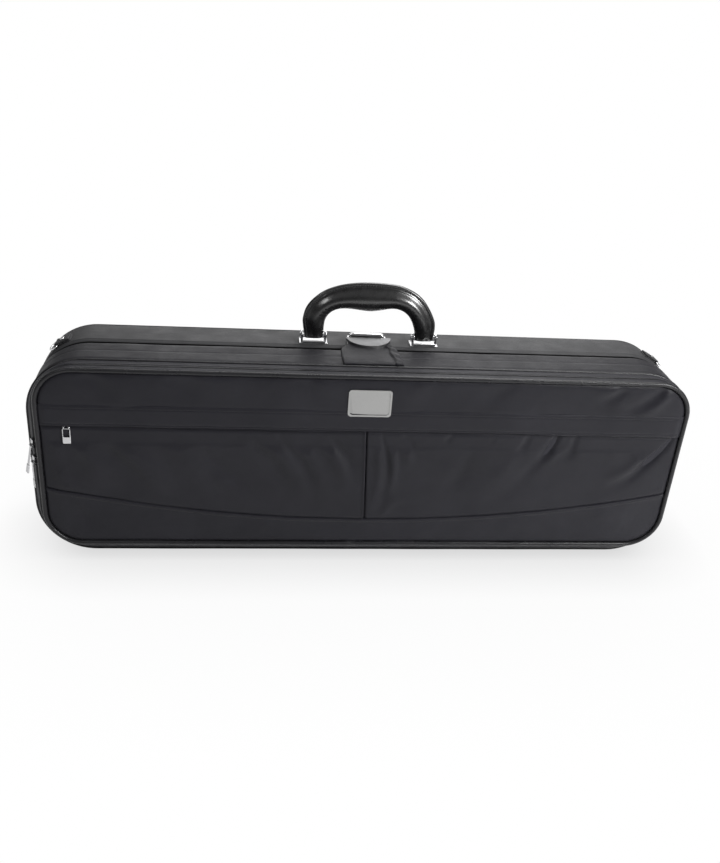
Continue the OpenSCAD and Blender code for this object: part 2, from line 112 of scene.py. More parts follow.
def noise_tex(nt, tc, scale, detail=3.0, rough=0.55, stretch=None):
    n = node(nt, "ShaderNodeTexNoise")
    n.inputs["Scale"].default_value = scale
    n.inputs["Detail"].default_value = detail
    n.inputs["Roughness"].default_value = rough
    if stretch:
        mp = node(nt, "ShaderNodeMapping")
        mp.inputs["Scale"].default_value = stretch
        lk(nt, tc.outputs["Object"], mp.inputs[0])
        lk(nt, mp.outputs[0], n.inputs["Vector"])
    else:
        lk(nt, tc.outputs["Object"], n.inputs["Vector"])
    return n


def ramp(nt, fac, p0, c0, p1, c1):
    r = node(nt, "ShaderNodeValToRGB")
    r.color_ramp.elements[0].position = p0
    r.color_ramp.elements[0].color = (*c0, 1)
    r.color_ramp.elements[1].position = p1
    r.color_ramp.elements[1].color = (*c1, 1)
    lk(nt, fac, r.inputs[0])
    return r


def math2(nt, op, a, b):
    n = node(nt, "ShaderNodeMath", operation=op)
    for i, v in enumerate((a, b)):
        if hasattr(v, "is_linked"):
            lk(nt, v, n.inputs[i])
        else:
            n.inputs[i].default_value = v
    return n.outputs[0]


def mix(nt, fac, a, b, blend="MIX"):
    n = node(nt, "ShaderNodeMix", data_type="RGBA", blend_type=blend)
    for i, v in ((0, fac), (6, a), (7, b)):
        if hasattr(v, "is_linked"):
            lk(nt, v, n.inputs[i])
        elif i == 0:
            n.inputs[0].default_value = v
        else:
            n.inputs[i].default_value = (*v, 1)
    return n.outputs[2]


def thread_lines(nt, tc, vec, period_mm):
    """sine of a direction in object space: one family of threads"""
    d = node(nt, "ShaderNodeVectorMath", operation="DOT_PRODUCT")
    lk(nt, tc.outputs["Object"], d.inputs[0])
    k = 2 * math.pi / (period_mm * MM)
    d.inputs[1].default_value = tuple(c * k for c in vec)
    return math2(nt, "SINE", d.outputs["Value"], 0.0)


def cloth_mat(name, dark, light, period=0.55, bump=0.25, rough=(0.46, 0.62), sheen=0.12,
              spec=0.35, blotch=9.0, pile=0.0, edge=0.5):
    m, nt, b, tc = start_mat(name)
    big = noise_tex(nt, tc, blotch, 4.0, 0.6)
    col = ramp(nt, big.outputs["Fac"], 0.3, dark, 0.7, light).outputs[0]
    wa = thread_lines(nt, tc, (1.0, 0.83, 0.12), period)
    wb = thread_lines(nt, tc, (0.1, 0.77, 1.0), period)
    weave = math2(nt, "MULTIPLY", wa, wb)
    fine = noise_tex(nt, tc, 2600.0, 2.0, 0.6)
    speck = math2(nt, "ADD", math2(nt, "MULTIPLY", weave, 0.35), fine.outputs["Fac"])
    col = mix(nt, math2(nt, "MULTIPLY", speck, 0.22), col, tuple(1.9 * c for c in light))
    if edge:
        g = node(nt, "ShaderNodeNewGeometry")
        e = ramp(nt, g.outputs["Pointiness"], 0.53, (0, 0, 0), 0.60, (1, 1, 1)).outputs[0]
        col = mix(nt, math2(nt, "MULTIPLY", e, edge), col, tuple(2.4 * c for c in light))
    lk(nt, col, b.inputs["Base Color"])
    rr = ramp(nt, noise_tex(nt, tc, 40.0, 3.0).outputs["Fac"], 0.3, (rough[0],) * 3, 0.7, (rough[1],) * 3)
    lk(nt, rr.outputs[0], b.inputs["Roughness"])
    b.inputs["Specular IOR Level"].default_value = spec
    b.inputs["Sheen Weight"].default_value = sheen
    b.inputs["Sheen Roughness"].default_value = 0.45
    hgt = math2(nt, "ADD", math2(nt, "MULTIPLY", weave, 0.5), math2(nt, "MULTIPLY", fine.outputs["Fac"], 0.5 + pile))
    bp = node(nt, "ShaderNodeBump")
    bp.inputs["Strength"].default_value = bump
    bp.inputs["Distance"].default_value = 0.00012 * (1 + 3 * pile)
    lk(nt, hgt, bp.inputs["Height"])
    soft = noise_tex(nt, tc, 26.0, 2.0, 0.5)
    bp2 = node(nt, "ShaderNodeBump")
    bp2.inputs["Strength"].default_value = 0.32
    bp2.inputs["Distance"].default_value = 0.004
    lk(nt, soft.outputs["Fac"], bp2.inputs["Height"])
    lk(nt, bp2.outputs[0], bp.inputs["Normal"])
    lk(nt, bp.outputs[0], b.inputs["Normal"])
    return m


def metal_mat(name, base, rough, aniso=0.0, scratch=0.5, tint=0.75):
    m, nt, b, tc = start_mat(name)
    n1 = noise_tex(nt, tc, 220.0, 4.0, 0.6)
    n2 = noise_tex(nt, tc, 900.0, 3.0, 0.6, stretch=(1.0, 30.0, 30.0))
    col = ramp(nt, n1.outputs["Fac"], 0.3, tuple(tint * c for c in base), 0.72, base).outputs[0]
    col = mix(nt, math2(nt, "MULTIPLY", n2.outputs["Fac"], scratch * 0.3), col, tuple(0.55 * c for c in base))
    # concave spots (low pointiness) are darkened towards a tenth of the base colour: painted shade in crevices and
    # along borders, partly meant as crevice grime
    g = node(nt, "ShaderNodeNewGeometry")
    e = ramp(nt, g.outputs["Pointiness"], 0.44, (1, 1, 1), 0.49, (0, 0, 0)).outputs[0]
    col = mix(nt, math2(nt, "MULTIPLY", e, 0.85), col, tuple(0.10 * c for c in base))
    lk(nt, col, b.inputs["Base Color"])
    b.inputs["Metallic"].default_value = 1.0
    rr = ramp(nt, n1.outputs["Fac"], 0.25, (rough * 0.7,) * 3, 0.75, (rough * 1.35,) * 3)
    lk(nt, rr.outputs[0], b.inputs["Roughness"])
    b.inputs["Anisotropic"].default_value = aniso
    bp = node(nt, "ShaderNodeBump")
    bp.inputs["Strength"].default_value = 0.12 * scratch + 0.02
    bp.inputs["Distance"].default_value = 0.0001
    lk(nt, n2.outputs["Fac"], bp.inputs["Height"])
    lk(nt, bp.outputs[0], b.inputs["Normal"])
    return m


def leather_mat(name):
    m, nt, b, tc = start_mat(name)
    v = node(nt, "ShaderNodeTexVoronoi", feature="DISTANCE_TO_EDGE")
    v.inputs["Scale"].default_value = 900.0
    lk(nt, tc.outputs["Object"], v.inputs["Vector"])
    grain = ramp(nt, v.outputs["Distance"], 0.0, (0, 0, 0), 0.25, (1, 1, 1)).outputs[0]
    n1 = noise_tex(nt, tc, 60.0, 5.0, 0.6)
    col = ramp(nt, n1.outputs["Fac"], 0.3, (0.0035, 0.0034, 0.0036), 0.75, (0.010, 0.0098, 0.0102)).outputs[0]
    g = node(nt, "ShaderNodeNewGeometry")
    e = ramp(nt, g.outputs["Pointiness"], 0.52, (0, 0, 0), 0.62, (1, 1, 1)).outputs[0]
    col = mix(nt, math2(nt, "MULTIPLY", e, 0.05), col, (0.05, 0.048, 0.047))
    lk(nt, col, b.inputs["Base Color"])
    n2 = noise_tex(nt, tc, 140.0, 3.0, 0.5)
    rr = ramp(nt, n2.outputs["Fac"], 0.3, (0.24,) * 3, 0.7, (0.34,) * 3)
    lk(nt, rr.outputs[0], b.inputs["Roughness"])
    b.inputs["Specular IOR Level"].default_value = 0.5
    b.inputs["Coat Weight"].default_value = 0.75
    b.inputs["Coat Roughness"].default_value = 0.20
    h = math2(nt, "ADD", math2(nt, "MULTIPLY", grain, 0.35), math2(nt, "MULTIPLY", n2.outputs["Fac"], 0.5))
    bp = node(nt, "ShaderNodeBump")
    bp.inputs["Strength"].default_value = 0.12
    bp.inputs["Distance"].default_value = 0.00022
    lk(nt, h, bp.inputs["Height"])
    lk(nt, bp.outputs[0], b.inputs["Normal"])
    return m


def plastic_mat(name, base=(0.012, 0.012, 0.013), rough=0.4):
    m, nt, b, tc = start_mat(name)
    n1 = noise_tex(nt, tc, 120.0, 4.0)
    n2 = noise_tex(nt, tc, 1800.0, 2.0)
    lk(nt, ramp(nt, n1.outputs["Fac"], 0.3, tuple(0.8 * c for c in base), 0.7, tuple(1.35 * c for c in base)).outputs[0], b.inputs["Base Color"])
    lk(nt, ramp(nt, n1.outputs["Fac"], 0.3, (rough * 0.85,) * 3, 0.7, (rough * 1.2,) * 3).outputs[0], b.inputs["Roughness"])
    bp = node(nt, "ShaderNodeBump")
    bp.inputs["Strength"].default_value = 0.2
    bp.inputs["Distance"].default_value = 0.0001
    lk(nt, n2.outputs["Fac"], bp.inputs["Height"])
    lk(nt, bp.outputs[0], b.inputs["Normal"])
    return m


M_FRONT = cloth_mat("nylon front", (0.0080, 0.0078, 0.0104), (0.0132, 0.0129, 0.0166), rough=(0.36, 0.5), spec=0.17, sheen=0.03)
M_LID = cloth_mat("nylon lid", (0.0080, 0.0078, 0.0096), (0.0130, 0.0127, 0.0152), period=0.7, bump=0.4, rough=(0.42, 0.56), spec=0.15, sheen=0.02, edge=0.12)
M_SHELL = cloth_mat("nylon shell", (0.0125, 0.0125, 0.0137), (0.0205, 0.0205, 0.0222), period=0.7, bump=0.45, rough=(0.46, 0.62), spec=0.27, sheen=0.06, edge=0.25)
M_PIPE = cloth_mat("piping nylon", (0.0070, 0.0069, 0.0080), (0.0115, 0.0113, 0.0128), period=0.5, rough=(0.24, 0.34), spec=0.30, sheen=0.02, edge=0.1)
M_TAPE = cloth_mat("zip tape", (0.004, 0.004, 0.0045), (0.007, 0.007, 0.0075), period=0.9, bump=0.5, rough=(0.6, 0.8), spec=0.25, sheen=0.03, edge=0.0)
M_TEETH = plastic_mat("zip coil", (0.010, 0.010, 0.011), 0.35)
# near-black cloth laid in the gap under the rain flap's edge: painted shade
M_GAP = cloth_mat("gap shade", (0.0012, 0.0012, 0.0013), (0.002, 0.002, 0.0021), period=0.7, rough=(0.85, 0.95), spec=0.03, sheen=0.0, edge=0.0)
M_THREAD = cloth_mat("thread", (0.008, 0.008, 0.009), (0.014, 0.014, 0.015), period=0.25, rough=(0.5, 0.65), spec=0.4, sheen=0.1, edge=0.0)
M_WEB = cloth_mat("webbing", (0.006, 0.006, 0.0065), (0.011, 0.011, 0.012), period=1.3, bump=0.7, rough=(0.55, 0.7), spec=0.35, sheen=0.08, edge=0.2)
M_PLUSH = cloth_mat("plush lining", (0.075, 0.005, 0.012), (0.14, 0.010, 0.022), period=0.9, bump=0.6, rough=(0.8, 0.95), sheen=0.18, spec=0.2, blotch=22.0, pile=1.2, edge=0.12)
M_FOAM = cloth_mat("foam board", (0.30, 0.30, 0.28), (0.42, 0.42, 0.40), period=1.6, rough=(0.8, 0.95), sheen=0.0, spec=0.2, edge=0.0)
M_CHROME = metal_mat("chrome", (0.86, 0.86, 0.87), 0.10, scratch=0.3, tint=0.92)
M_SATIN = metal_mat("satin plate", (0.36, 0.36, 0.355), 0.42, aniso=0.3, scratch=0.8, tint=0.88)
M_CLASP = metal_mat("clasp metal", (0.25, 0.25, 0.255), 0.42, aniso=0.2, scratch=0.6, tint=0.85)
M_ZIPM = metal_mat("zip metal", (0.62, 0.62, 0.63), 0.2, scratch=0.6, tint=0.8)
M_LEATHER = leather_mat("black leather")
M_MOULD = plastic_mat("moulding", (0.010, 0.010, 0.011), 0.35)


# ------------------------------------------------------------------ mesh helpers
def add(name, V, F, mat, smooth=True):
    me = bpy.data.meshes.new(name)
    me.from_pydata((np.asarray(V, float) * MM).tolist(), [], [tuple(int(i) for i in f) for f in F])
    me.update()
    ob = bpy.data.objects.new(name, me)
    S.collection.objects.link(ob)
    me.materials.append(mat)
    me.polygons.foreach_set("use_smooth", [smooth] * len(me.polygons))
    return ob


def outline(h, z0, z1, r, nb=120, na=18, ns=24):
    P, N = [], []
    w = h - r

    def arc(cx, cz, a0):
        for k in range(na):
            a = math.radians(a0 + 90.0 * k / na)
            P.append((cx + r * math.cos(a), cz + r * math.sin(a)))
            N.append((math.cos(a), math.sin(a)))

    for k in range(nb // 2):
        P.append((w * k / (nb / 2), z0)); N.append((0, -1))
    arc(w, z0 + r, -90)
    for k in range(ns):
        P.append((h, z0 + r + (z1 - z0 - 2 * r) * k / ns)); N.append((1, 0))
    arc(w, z1 - r, 0)
    for k in range(nb):
        P.append((w - 2 * w * k / nb, z1)); N.append((0, 1))
    arc(-w, z1 - r, 90)
    for k in range(ns):
        P.append((-h, z1 - r - (z1 - z0 - 2 * r) * k / ns)); N.append((-1, 0))
    arc(-w, z0 + r, 180)
    for k in range(nb // 2):
        P.append((-w + w * k / (nb / 2), z0)); N.append((0, -1))
    return np.array(P), np.array(N)


def ring(PN, y, off=0.0):
    P, N = PN
    off = np.broadcast_to(np.asarray(off, float), (len(P),))
    y = np.broadcast_to(np.asarray(y, float), (len(P),))
    return np.stack([P[:, 0] + N[:, 0] * off, y, P[:, 1] + N[:, 1] * off], 1)


def loft(rings, closed=True, flip=False, cap_last=False, cap_first=False):
    n = len(rings[0])
    V = np.concatenate(rings)
    F = []
    for j in range(len(rings) - 1):
        for i in range(n if closed else n - 1):
            k = (i + 1) % n
            q = (j * n + i, (j + 1) * n + i, (j + 1) * n + k, j * n + k)
            F.append(q[::-1] if flip else q)
    if cap_last:
        q = tuple((len(rings) - 1) * n + i for i in range(n))
        F.append(q if flip else q[::-1])
    if cap_first:
        q = tuple(range(n))
        F.append(q[::-1] if flip else q)
    return V, F


def wob(V, scale, amp, seed=0.0):
    return amp * np.array([noise.noise(Vector((p[0] / scale + seed, p[1] / scale, p[2] / scale))) for p in V])


def frames(path, closed):
    path = np.asarray(path, float)
    n = len(path)
    if closed:
        T = np.roll(path, -1, 0) - np.roll(path, 1, 0)
    else:
        T = np.gradient(path, axis=0)
    T /= np.linalg.norm(T, axis=1)[:, None]
    return T


def tube(name, path, rad, mat, closed=True, seg=12, ref=(0, 1, 0), squash=1.0, ends=True):
    """round cord along path; ref is a direction never along the path"""
    path = np.asarray(path, float)
    T = frames(path, closed)
    ref = np.asarray(ref, float)
    A = np.cross(T, ref); A /= np.linalg.norm(A, axis=1)[:, None]
    B = np.cross(A, T)
    rad = np.broadcast_to(np.asarray(rad, float), (len(path),))
    V, F = [], []
    for k in range(seg):
        a = 2 * math.pi * k / seg
        V.append(path + A * (rad * math.cos(a))[:, None] + B * (rad * squash * math.sin(a))[:, None])
    V = np.stack(V, 1).reshape(-1, 3)
    n = len(path)
    for j in range(n if closed else n - 1):
        j2 = (j + 1) % n
        for k in range(seg):
            k2 = (k + 1) % seg
            F.append((j * seg + k, j2 * seg + k, j2 * seg + k2, j * seg + k2))
    if not closed and ends:
        F.append(tuple(range(seg)))
        F.append(tuple((n - 1) * seg + k for k in range(seg))[::-1])
    ob = add(name, V, F, mat)
    bm = bmesh.new(); bm.from_mesh(ob.data)
    bmesh.ops.recalc_face_normals(bm, faces=bm.faces)
    bm.to_mesh(ob.data); bm.free()
    ob.data.polygons.foreach_set("use_smooth", [True] * len(ob.data.polygons))
    return ob


def resample(path, step, closed=False):
    path = np.asarray(path, float)
    if closed:
        path = np.vstack([path, path[:1]])
    d = np.concatenate([[0], np.cumsum(np.linalg.norm(np.diff(path, axis=0), axis=1))])
    n = max(2, int(round(d[-1] / step)))
    s = np.linspace(0, d[-1], n + 1)
    out = np.stack([np.interp(s, d, path[:, i]) for i in range(3)], 1)
    return out[:-1] if closed else out


def stitches(name, paths, mat=None, pitch=3.0, length=2.2, rad=0.32, normal=(0, -1, 0)):
    """short thread stitches along one or more paths, as one piece"""
    V, F = [], []
    for path in paths:
        pts = resample(path, pitch)
        T = frames(pts, False)
        for p, t in zip(pts, T):
            nrm = np.asarray(normal(p) if callable(normal) else normal, float)
            nrm = nrm - t * (nrm @ t)
            ln = np.linalg.norm(nrm)
            if ln < 1e-6:
                continue
            nrm /= ln
            s = np.cross(t, nrm)
            i0 = len(V)
            V.append(p - t * length / 2 - nrm * rad * 0.6)
            for u, rr in ((-0.36, 0.8), (0.0, 1.0), (0.36, 0.8)):
                for k in range(5):
                    a = 2 * math.pi * k / 5
                    V.append(p + t * length * u + (nrm * math.cos(a) + s * math.sin(a)) * rad * rr)
            V.append(p + t * length / 2 - nrm * rad * 0.6)
            for k in range(5):
                k2 = (k + 1) % 5
                F.append((i0, i0 + 1 + k2, i0 + 1 + k))
                F.append((i0 + 1 + k, i0 + 1 + k2, i0 + 6 + k2, i0 + 6 + k))
                F.append((i0 + 6 + k, i0 + 6 + k2, i0 + 11 + k2, i0 + 11 + k))
                F.append((i0 + 16, i0 + 11 + k, i0 + 11 + k2))
    return add(name, V, F, mat or M_THREAD)


def blocks(name, items, mat):
    """many small chamfered blocks: items of (centre, ax, ay, az) with half-vectors"""
    V, F = [], []
    for c, a, b, d in items:
        i0 = len(V)
        for z in (-1, 1):
            for x, y in ((-1, -0.55), (-0.55, -1), (0.55, -1), (1, -0.55), (1, 0.55), (0.55, 1), (-0.55, 1), (-1, 0.55)):
                k = 1.0 if z < 0 else 0.72
                V.append(c + a * x * k + b * y * k + d * z)
        F.append(tuple(i0 + k for k in range(8))[::-1])
        F.append(tuple(i0 + 8 + k for k in range(8)))
        for k in range(8):
            k2 = (k + 1) % 8
            F.append((i0 + k, i0 + k2, i0 + 8 + k2, i0 + 8 + k))
    return add(name, V, F, mat, smooth=False)


def finish_piece(ob, body=None, replaces=()):
    if body:
        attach(ob, body)
    if replaces:
        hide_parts(*replaces)
    return ob


def bevel(n, width, seg=3, mat=None, angle=35, subsurf=0):
    o = nodes[n]
    if mat:
        o.data.materials.clear()
        o.data.materials.append(mat)
    w = o.modifiers.new("weld", "WELD"); w.merge_threshold = 1e-6
    b = o.modifiers.new("bevel", "BEVEL")
    b.width = width * MM; b.segments = seg; b.limit_method = "ANGLE"; b.angle_limit = math.radians(angle)
    b.use_clamp_overlap = True
    s = o.modifiers.new("shade", "NODES") if False else None
    o.data.polygons.foreach_set("use_smooth", [True] * len(o.data.polygons))
    wn = o.modifiers.new("wn", "WEIGHTED_NORMAL"); wn.keep_sharp = True; wn.weight = 60
    return o


def setmat(n, mat):
    o = nodes[n]
    o.data.materials.clear()
    o.data.materials.append(mat)


# ------------------------------------------------------------------ body covering
B0 = outline(HL, 0, H, R)


def lip_off(P, lip=LIP):
    """set-back of the lip under the rain flap: none low down, full above"""
    t = np.clip((P[0][:, 1] - (LIPZ - 1.5)) / 5.0, 0, 1)
    return -lip * t * t * (3 - 2 * t)


def wall_wave(y, seed, amp=0.55):
    """slow outward waves of cloth over the hard wall"""
    V = ring(B0, y)
    return amp + wob(V, 55.0, amp, seed) + wob(V, 17.0, amp * 0.35, seed + 9)


lip = lip_off(B0)
flat_bottom = np.clip((B0[0][:, 1]) / 6.0, 0, 1)   # the spine stands on the floor
kb = np.clip((7.0 - B0[0][:, 1]) / 5.0, 0, 1)         # along the hinge the rim stands back, clear of the lid as it turns


def rim_y(y):
    return y + np.maximum(YP + 3.2 - y, 0) * kb


rings = [ring(B0, YP + 0.12, np.full(len(lip), -10.5)), ring(B0, rim_y(YP + 0.08), lip - 2.0), ring(B0, rim_y(YP + 0.45), lip - 0.6),
         ring(B0, rim_y(YP + 1.6), lip)]
for y in (3.0, 7.0, 10.5):
    rings.append(ring(B0, y, lip))
rings += [ring(B0, 12.6, lip + 0.1), ring(B0, 13.05, np.minimum(lip * 0.95, -1.8)), ring(B0, 13.4, np.minimum(lip * 0.76, -1.6)),
          ring(B0, 14.2, np.minimum(lip * 0.50, -1.3)), ring(B0, 15.3, np.minimum(lip * 0.27, -0.9)), ring(B0, 16.6, np.minimum(lip * 0.11, -0.5)), ring(B0, 17.8, -0.25 + 0 * lip)]
for y in np.concatenate([[18.4, 19.0, 19.6, 20.6], np.linspace(23.0, 64.0, 12)]):
    k = math.sin(math.pi * min(1, max(0, (y - 15.4) / 50)))
    seamdip = -0.8 * math.exp(-((y - 19.0) / 0.6) ** 2)
    rings.append(ring(B0, y, (0.25 + wall_wave(y, 3.0) * k) * flat_bottom + seamdip * flat_bottom))
rings += [ring(B0, 66.6, 0.25 * flat_bottom), ring(B0, 68.4, -0.9), ring(B0, 69.3, -2.6), ring(B0, 69.6, -4.6), ring(B0, 69.3, -6.4),
          ring(B0, 69.1, -8.0)]
for i in list(range(12, 124, 7)) + [124]:
    PN = outline(HL - i, i, H - i, max(R - i, 4.0))
    V = ring(PN, 0)
    puff = 0.9 * (1 - math.exp(-(i - 8) / 9.0))
    fade = min(1.0, (124 - i) / 45.0)              # flat along the middle, where the last ring closes
    rings.append(ring(PN, 69.1 + puff + fade * (wob(V, 90.0, 0.5, 4.0) + wob(V, 30.0, 0.2, 8.0))))
V, F = loft(rings, cap_last=True)
body_skin = add("body_skin", V, F, M_SHELL)
# body-skin faces in the gap under the rain flap's edge (rings 6 to 10, upper part of the outline) get the gap shade
# material: painted shade
body_skin.data.materials.append(M_GAP)
nB = len(B0[0])
gap_shade_pts = B0[0][:, 1] > LIPZ + 4
for p_ in body_skin.data.polygons:
    j_, i_ = divmod(p_.vertices[0], nB)
    if 6 <= j_ <= 10 and gap_shade_pts[i_]:
        p_.material_index = 1
finish_piece(body_skin, "case_body", ["body_cover", "body_shell"])
st = stitches("body_edge_stitching", [np.vstack([ring(B0, 21.2, 0.45)[60:-60]])], normal=lambda p: (0, 0, 1) if abs(p[0]) < 330 else (math.copysign(1, p[0]), 0, 0.3))
finish_piece(st, "case_body")
bw = tube("back_welt", ring(B0, 68.6, -1.2), 1.7, M_PIPE)
finish_piece(bw, "case_body")

# ------------------------------------------------------------------ lid covering
rings = []
for i in [124] + list(range(118, 10, -9)):
    PN = outline(HL - i, i, H - i, max(R - i, 4.0))
    V = ring(PN, 0)
    rings.append(ring(PN, YR + 1.2 - 0.0 + 0 * V[:, 0]))
rings += [ring(B0, YR + 1.2, -6.0), ring(B0, YR + 1.25, -2.0), ring(B0, YR + 1.9, -0.5), ring(B0, YR + 3.2, 0.0)]
for y in np.linspace(YR + 5.5, YFL0 - 1.5, 7):
    rings.append(ring(B0, y, (0.15 + 0.8 * wall_wave(y, 3.0)) * flat_bottom))
rings += [ring(B0, YFL0 - 0.3, lip * 0.1), ring(B0, YFL0 + 1.5, lip * 0.8), ring(B0, YFL0 + 3, lip), ring(B0, -8, lip), ring(B0, YP - 1.6, lip),
          ring(B0, YP - 0.45, lip - 0.6), ring(B0, YP - 0.08, lip - 2.0), ring(B0, YP - 0.12, np.full(len(lip), -10.5))]
V, F = loft(rings, cap_first=True)
lid_skin = add("lid_skin", V, F, M_LID)
finish_piece(lid_skin, "lid", ["lid_cover", "lid_shell"])

# rain flap: the lid's cloth carried on over the gap, with a turned hem
P, N = B0
up = [i for i in range(len(P)) if P[i, 1] > LIPZ + 0.3]
BU = (P[up], N[up])
zz = BU[0][:, 1]
rf = []
for (y, o) in [(YFL0 - 3.0, -0.4), (YFL0 - 2.2, 0.35), (YFL0, 0.7)] + [(y, 0.85) for y in np.linspace(-10, 2, 5)] + [(4.5, 0.6)] + \
        [(YFL1 - 4.4, 0.05), (YFL1 - 3.6, -0.45), (YFL1 - 2.8, -0.35), (YFL1 - 1.2, -1.0), (YFL1 - 0.3, -1.6), (YFL1, -2.2), (YFL1 - 0.6, -2.7), (YFL1 - 2, -2.2)] + \
        [(5.0, -0.95)] + [(y, -0.8) for y in np.linspace(2, -10, 4)] + [(YFL0, -0.7)]:
    Vr = ring(BU, y)
    k = min(1.0, max(0.0, (y - YFL0) / 12.0))
    wv = wob(Vr, 55.0, 0.45, 3.0) + k * wob(Vr, 34.0, 0.5, 21.0)
    rf.append(ring(BU, y + (k ** 2) * wob(Vr, 80.0, 0.5, 40.0), o + wv * 0.8))
V, F = loft(rf, closed=False)
rain = add("rain_flap_cloth", V, F, M_LID)
finish_piece(rain, "lid", ["rain_flap"])
st = stitches("rain_flap_stitching", [ring(BU, YFL1 - 3.6, -0.25 + 0.8 * wob(ring(BU, YFL1 - 3.6), 55.0, 0.45, 3.0))], normal=lambda p: (0, 0, 1) if abs(p[0]) < 330 else (math.copysign(1, p[0]), 0, 0.3), rad=0.28)
finish_piece(st, "lid")

# thin piping on the lid's front rim
rp = ring(B0, YR - 0.1, -0.6)
rp[:, 1] += wob(rp, 70.0, 0.35, 5.0)
rim = tube("lid_rim_cord", rp, 1.75, M_PIPE, seg=10)
finish_piece(rim, "lid", ["lid_rim_piping"])


# ------------------------------------------------------------------ pocket gusset and its zip
def gus(y):
    t = (y - YR) / (YG0 - YR)
    return outline(HL + (GHL - HL) * t, GZ0 * t, H + (GZ1 - H) * t, R + (GR - R) * t)


def gusset_band(name, ys, body, rep, seed):
    rr = []
    for y, o in ys:
        PN = gus(y)
        Vr = ring(PN, y)
        side = np.clip((np.abs(Vr[:, 0]) - 200) / 150, 0.3, 1)
        rr.append(ring(PN, y, o + side * (wob(Vr, 40.0, 0.5, seed) + wob(Vr, 14.0, 0.2, seed))))
    V, F = loft(rr)
    F = [f[::-1] for f in F] if ys[0][0] > ys[-1][0] else F
    ob = add(name, V, F, M_FRONT)
    return finish_piece(ob, body, rep)


gr = gusset_band("gusset_rear_cloth", [(YZ + 2.0, -0.9), (YZ + 2.2, -0.1), (YZ + 2.9, 0.25), (YZ + 4.0, 0.15), (YZ + 5.2, -0.25), (YZ + 7.0, 0.1), (-46.0, 0.1), (YR - 2.2, -0.3), (YR - 0.8, -1.4)], "lid", ["pocket_gusset_rear"], 3.0)
gf = gusset_band("gusset_front_cloth", [(YG0 - 0.6, -2.2), (YG0 + 0.4, -0.6), (YG0 + 1.8, 0.0), (YZ - 5.4, 0.15), (YZ - 4.6, -0.2), (YZ - 3.6, 0.15), (YZ - 2.8, 0.25), (YZ - 2.1, -0.1), (YZ - 2.0, -0.9)], "pocket_panel", ["pocket_gusset_front"], 5.0)
for nm, s, body, rep in (("zip_tape_rear", 1, "lid", "pocket_zip_rear"), ("zip_tape_front", -1, "pocket_panel", "pocket_zip_front")):
    rr = [ring(gus(YZ + s * a), YZ + s * a, o) for a, o in ((0.12, -0.95), (0.25, -0.7), (1.2, -0.62), (3.2, -0.75))]
    V, F = loft(rr, flip=(s < 0))
    tp = add(nm, V, F, M_TAPE)
    finish_piece(tp, body, [rep])


def coil(name, PNf, yc, s, body, off, size=(0.55, 0.95, 0.5), step=1.7, zmin=None):
    """teeth of one zip half along an outline, pointing s along y"""
    pn = PNf(yc)
    a = ring(pn, yc, off); b = ring(pn, yc, off + 1.0)
    pts = resample(a, step, True); up_ = resample(b, step * 1.0, True)
    T = frames(pts, True)
    items = []
    for i, (p, t) in enumerate(zip(pts, T)):
        if zmin is not None and p[2] < zmin:
            continue
        nrm = np.cross(t, (0, 1, 0)); nrm /= np.linalg.norm(nrm)
        c = np.array([0, 0, ZC]) * 0
        if nrm @ (p - np.array([np.clip(p[0], -300, 300), p[1], ZC])) < 0:
            nrm = -nrm
        items.append((p + t * (0.5 * step if s > 0 else 0) , t * size[0], np.array([0, size[1], 0]), nrm * size[2]))
    ob = blocks(name, items, M_TEETH)
    return finish_piece(ob, body)


coil("pocket_coil_rear", gus, YZ + 0.55, 1, "lid", -0.25)
coil("pocket_coil_front", gus, YZ - 0.55, -1, "pocket_panel", -0.25)

# cloth hinge strip under the pocket, between lid and panel
xs = np.linspace(-318, 318, 160)
V, F = [], []
prof = [(-4.6, -0.35), (-3.2, 0.45), (-1.2, 0.75), (0, 0.8), (1.2, 0.75), (3.2, 0.45), (4.6, -0.35)]
for dy, o in prof:
    y = YZ + dy
    t = (y - YR) / (YG0 - YR)
    z = GZ0 * t
    w = wob(np.stack([xs, xs * 0 + y, xs * 0 + z], 1), 25.0, 0.15, 2.0)
    V.append(np.stack([xs, np.full_like(xs, y), z - o - w], 1))
V, F = loft(V, closed=False)
hs = add("pocket_hinge_strip", V, F, M_FRONT)
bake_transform(hs)


# ------------------------------------------------------------------ front panel cloth
def sdf_panel(x, z, inset=0.0):
    """distance inwards from the panel's outline"""
    h, z0, z1, r = PHL - inset, PZ0 + inset, PZ1 - inset, PR - inset
    cx, cz = (h - r), (z1 - z0) / 2 - r
    dx = np.abs(x) - cx
    dz = np.abs(z - (z0 + z1) / 2) - cz
    return r - (np.hypot(np.maximum(dx, 0), np.maximum(dz, 0)) + np.minimum(np.maximum(dx, dz), 0))


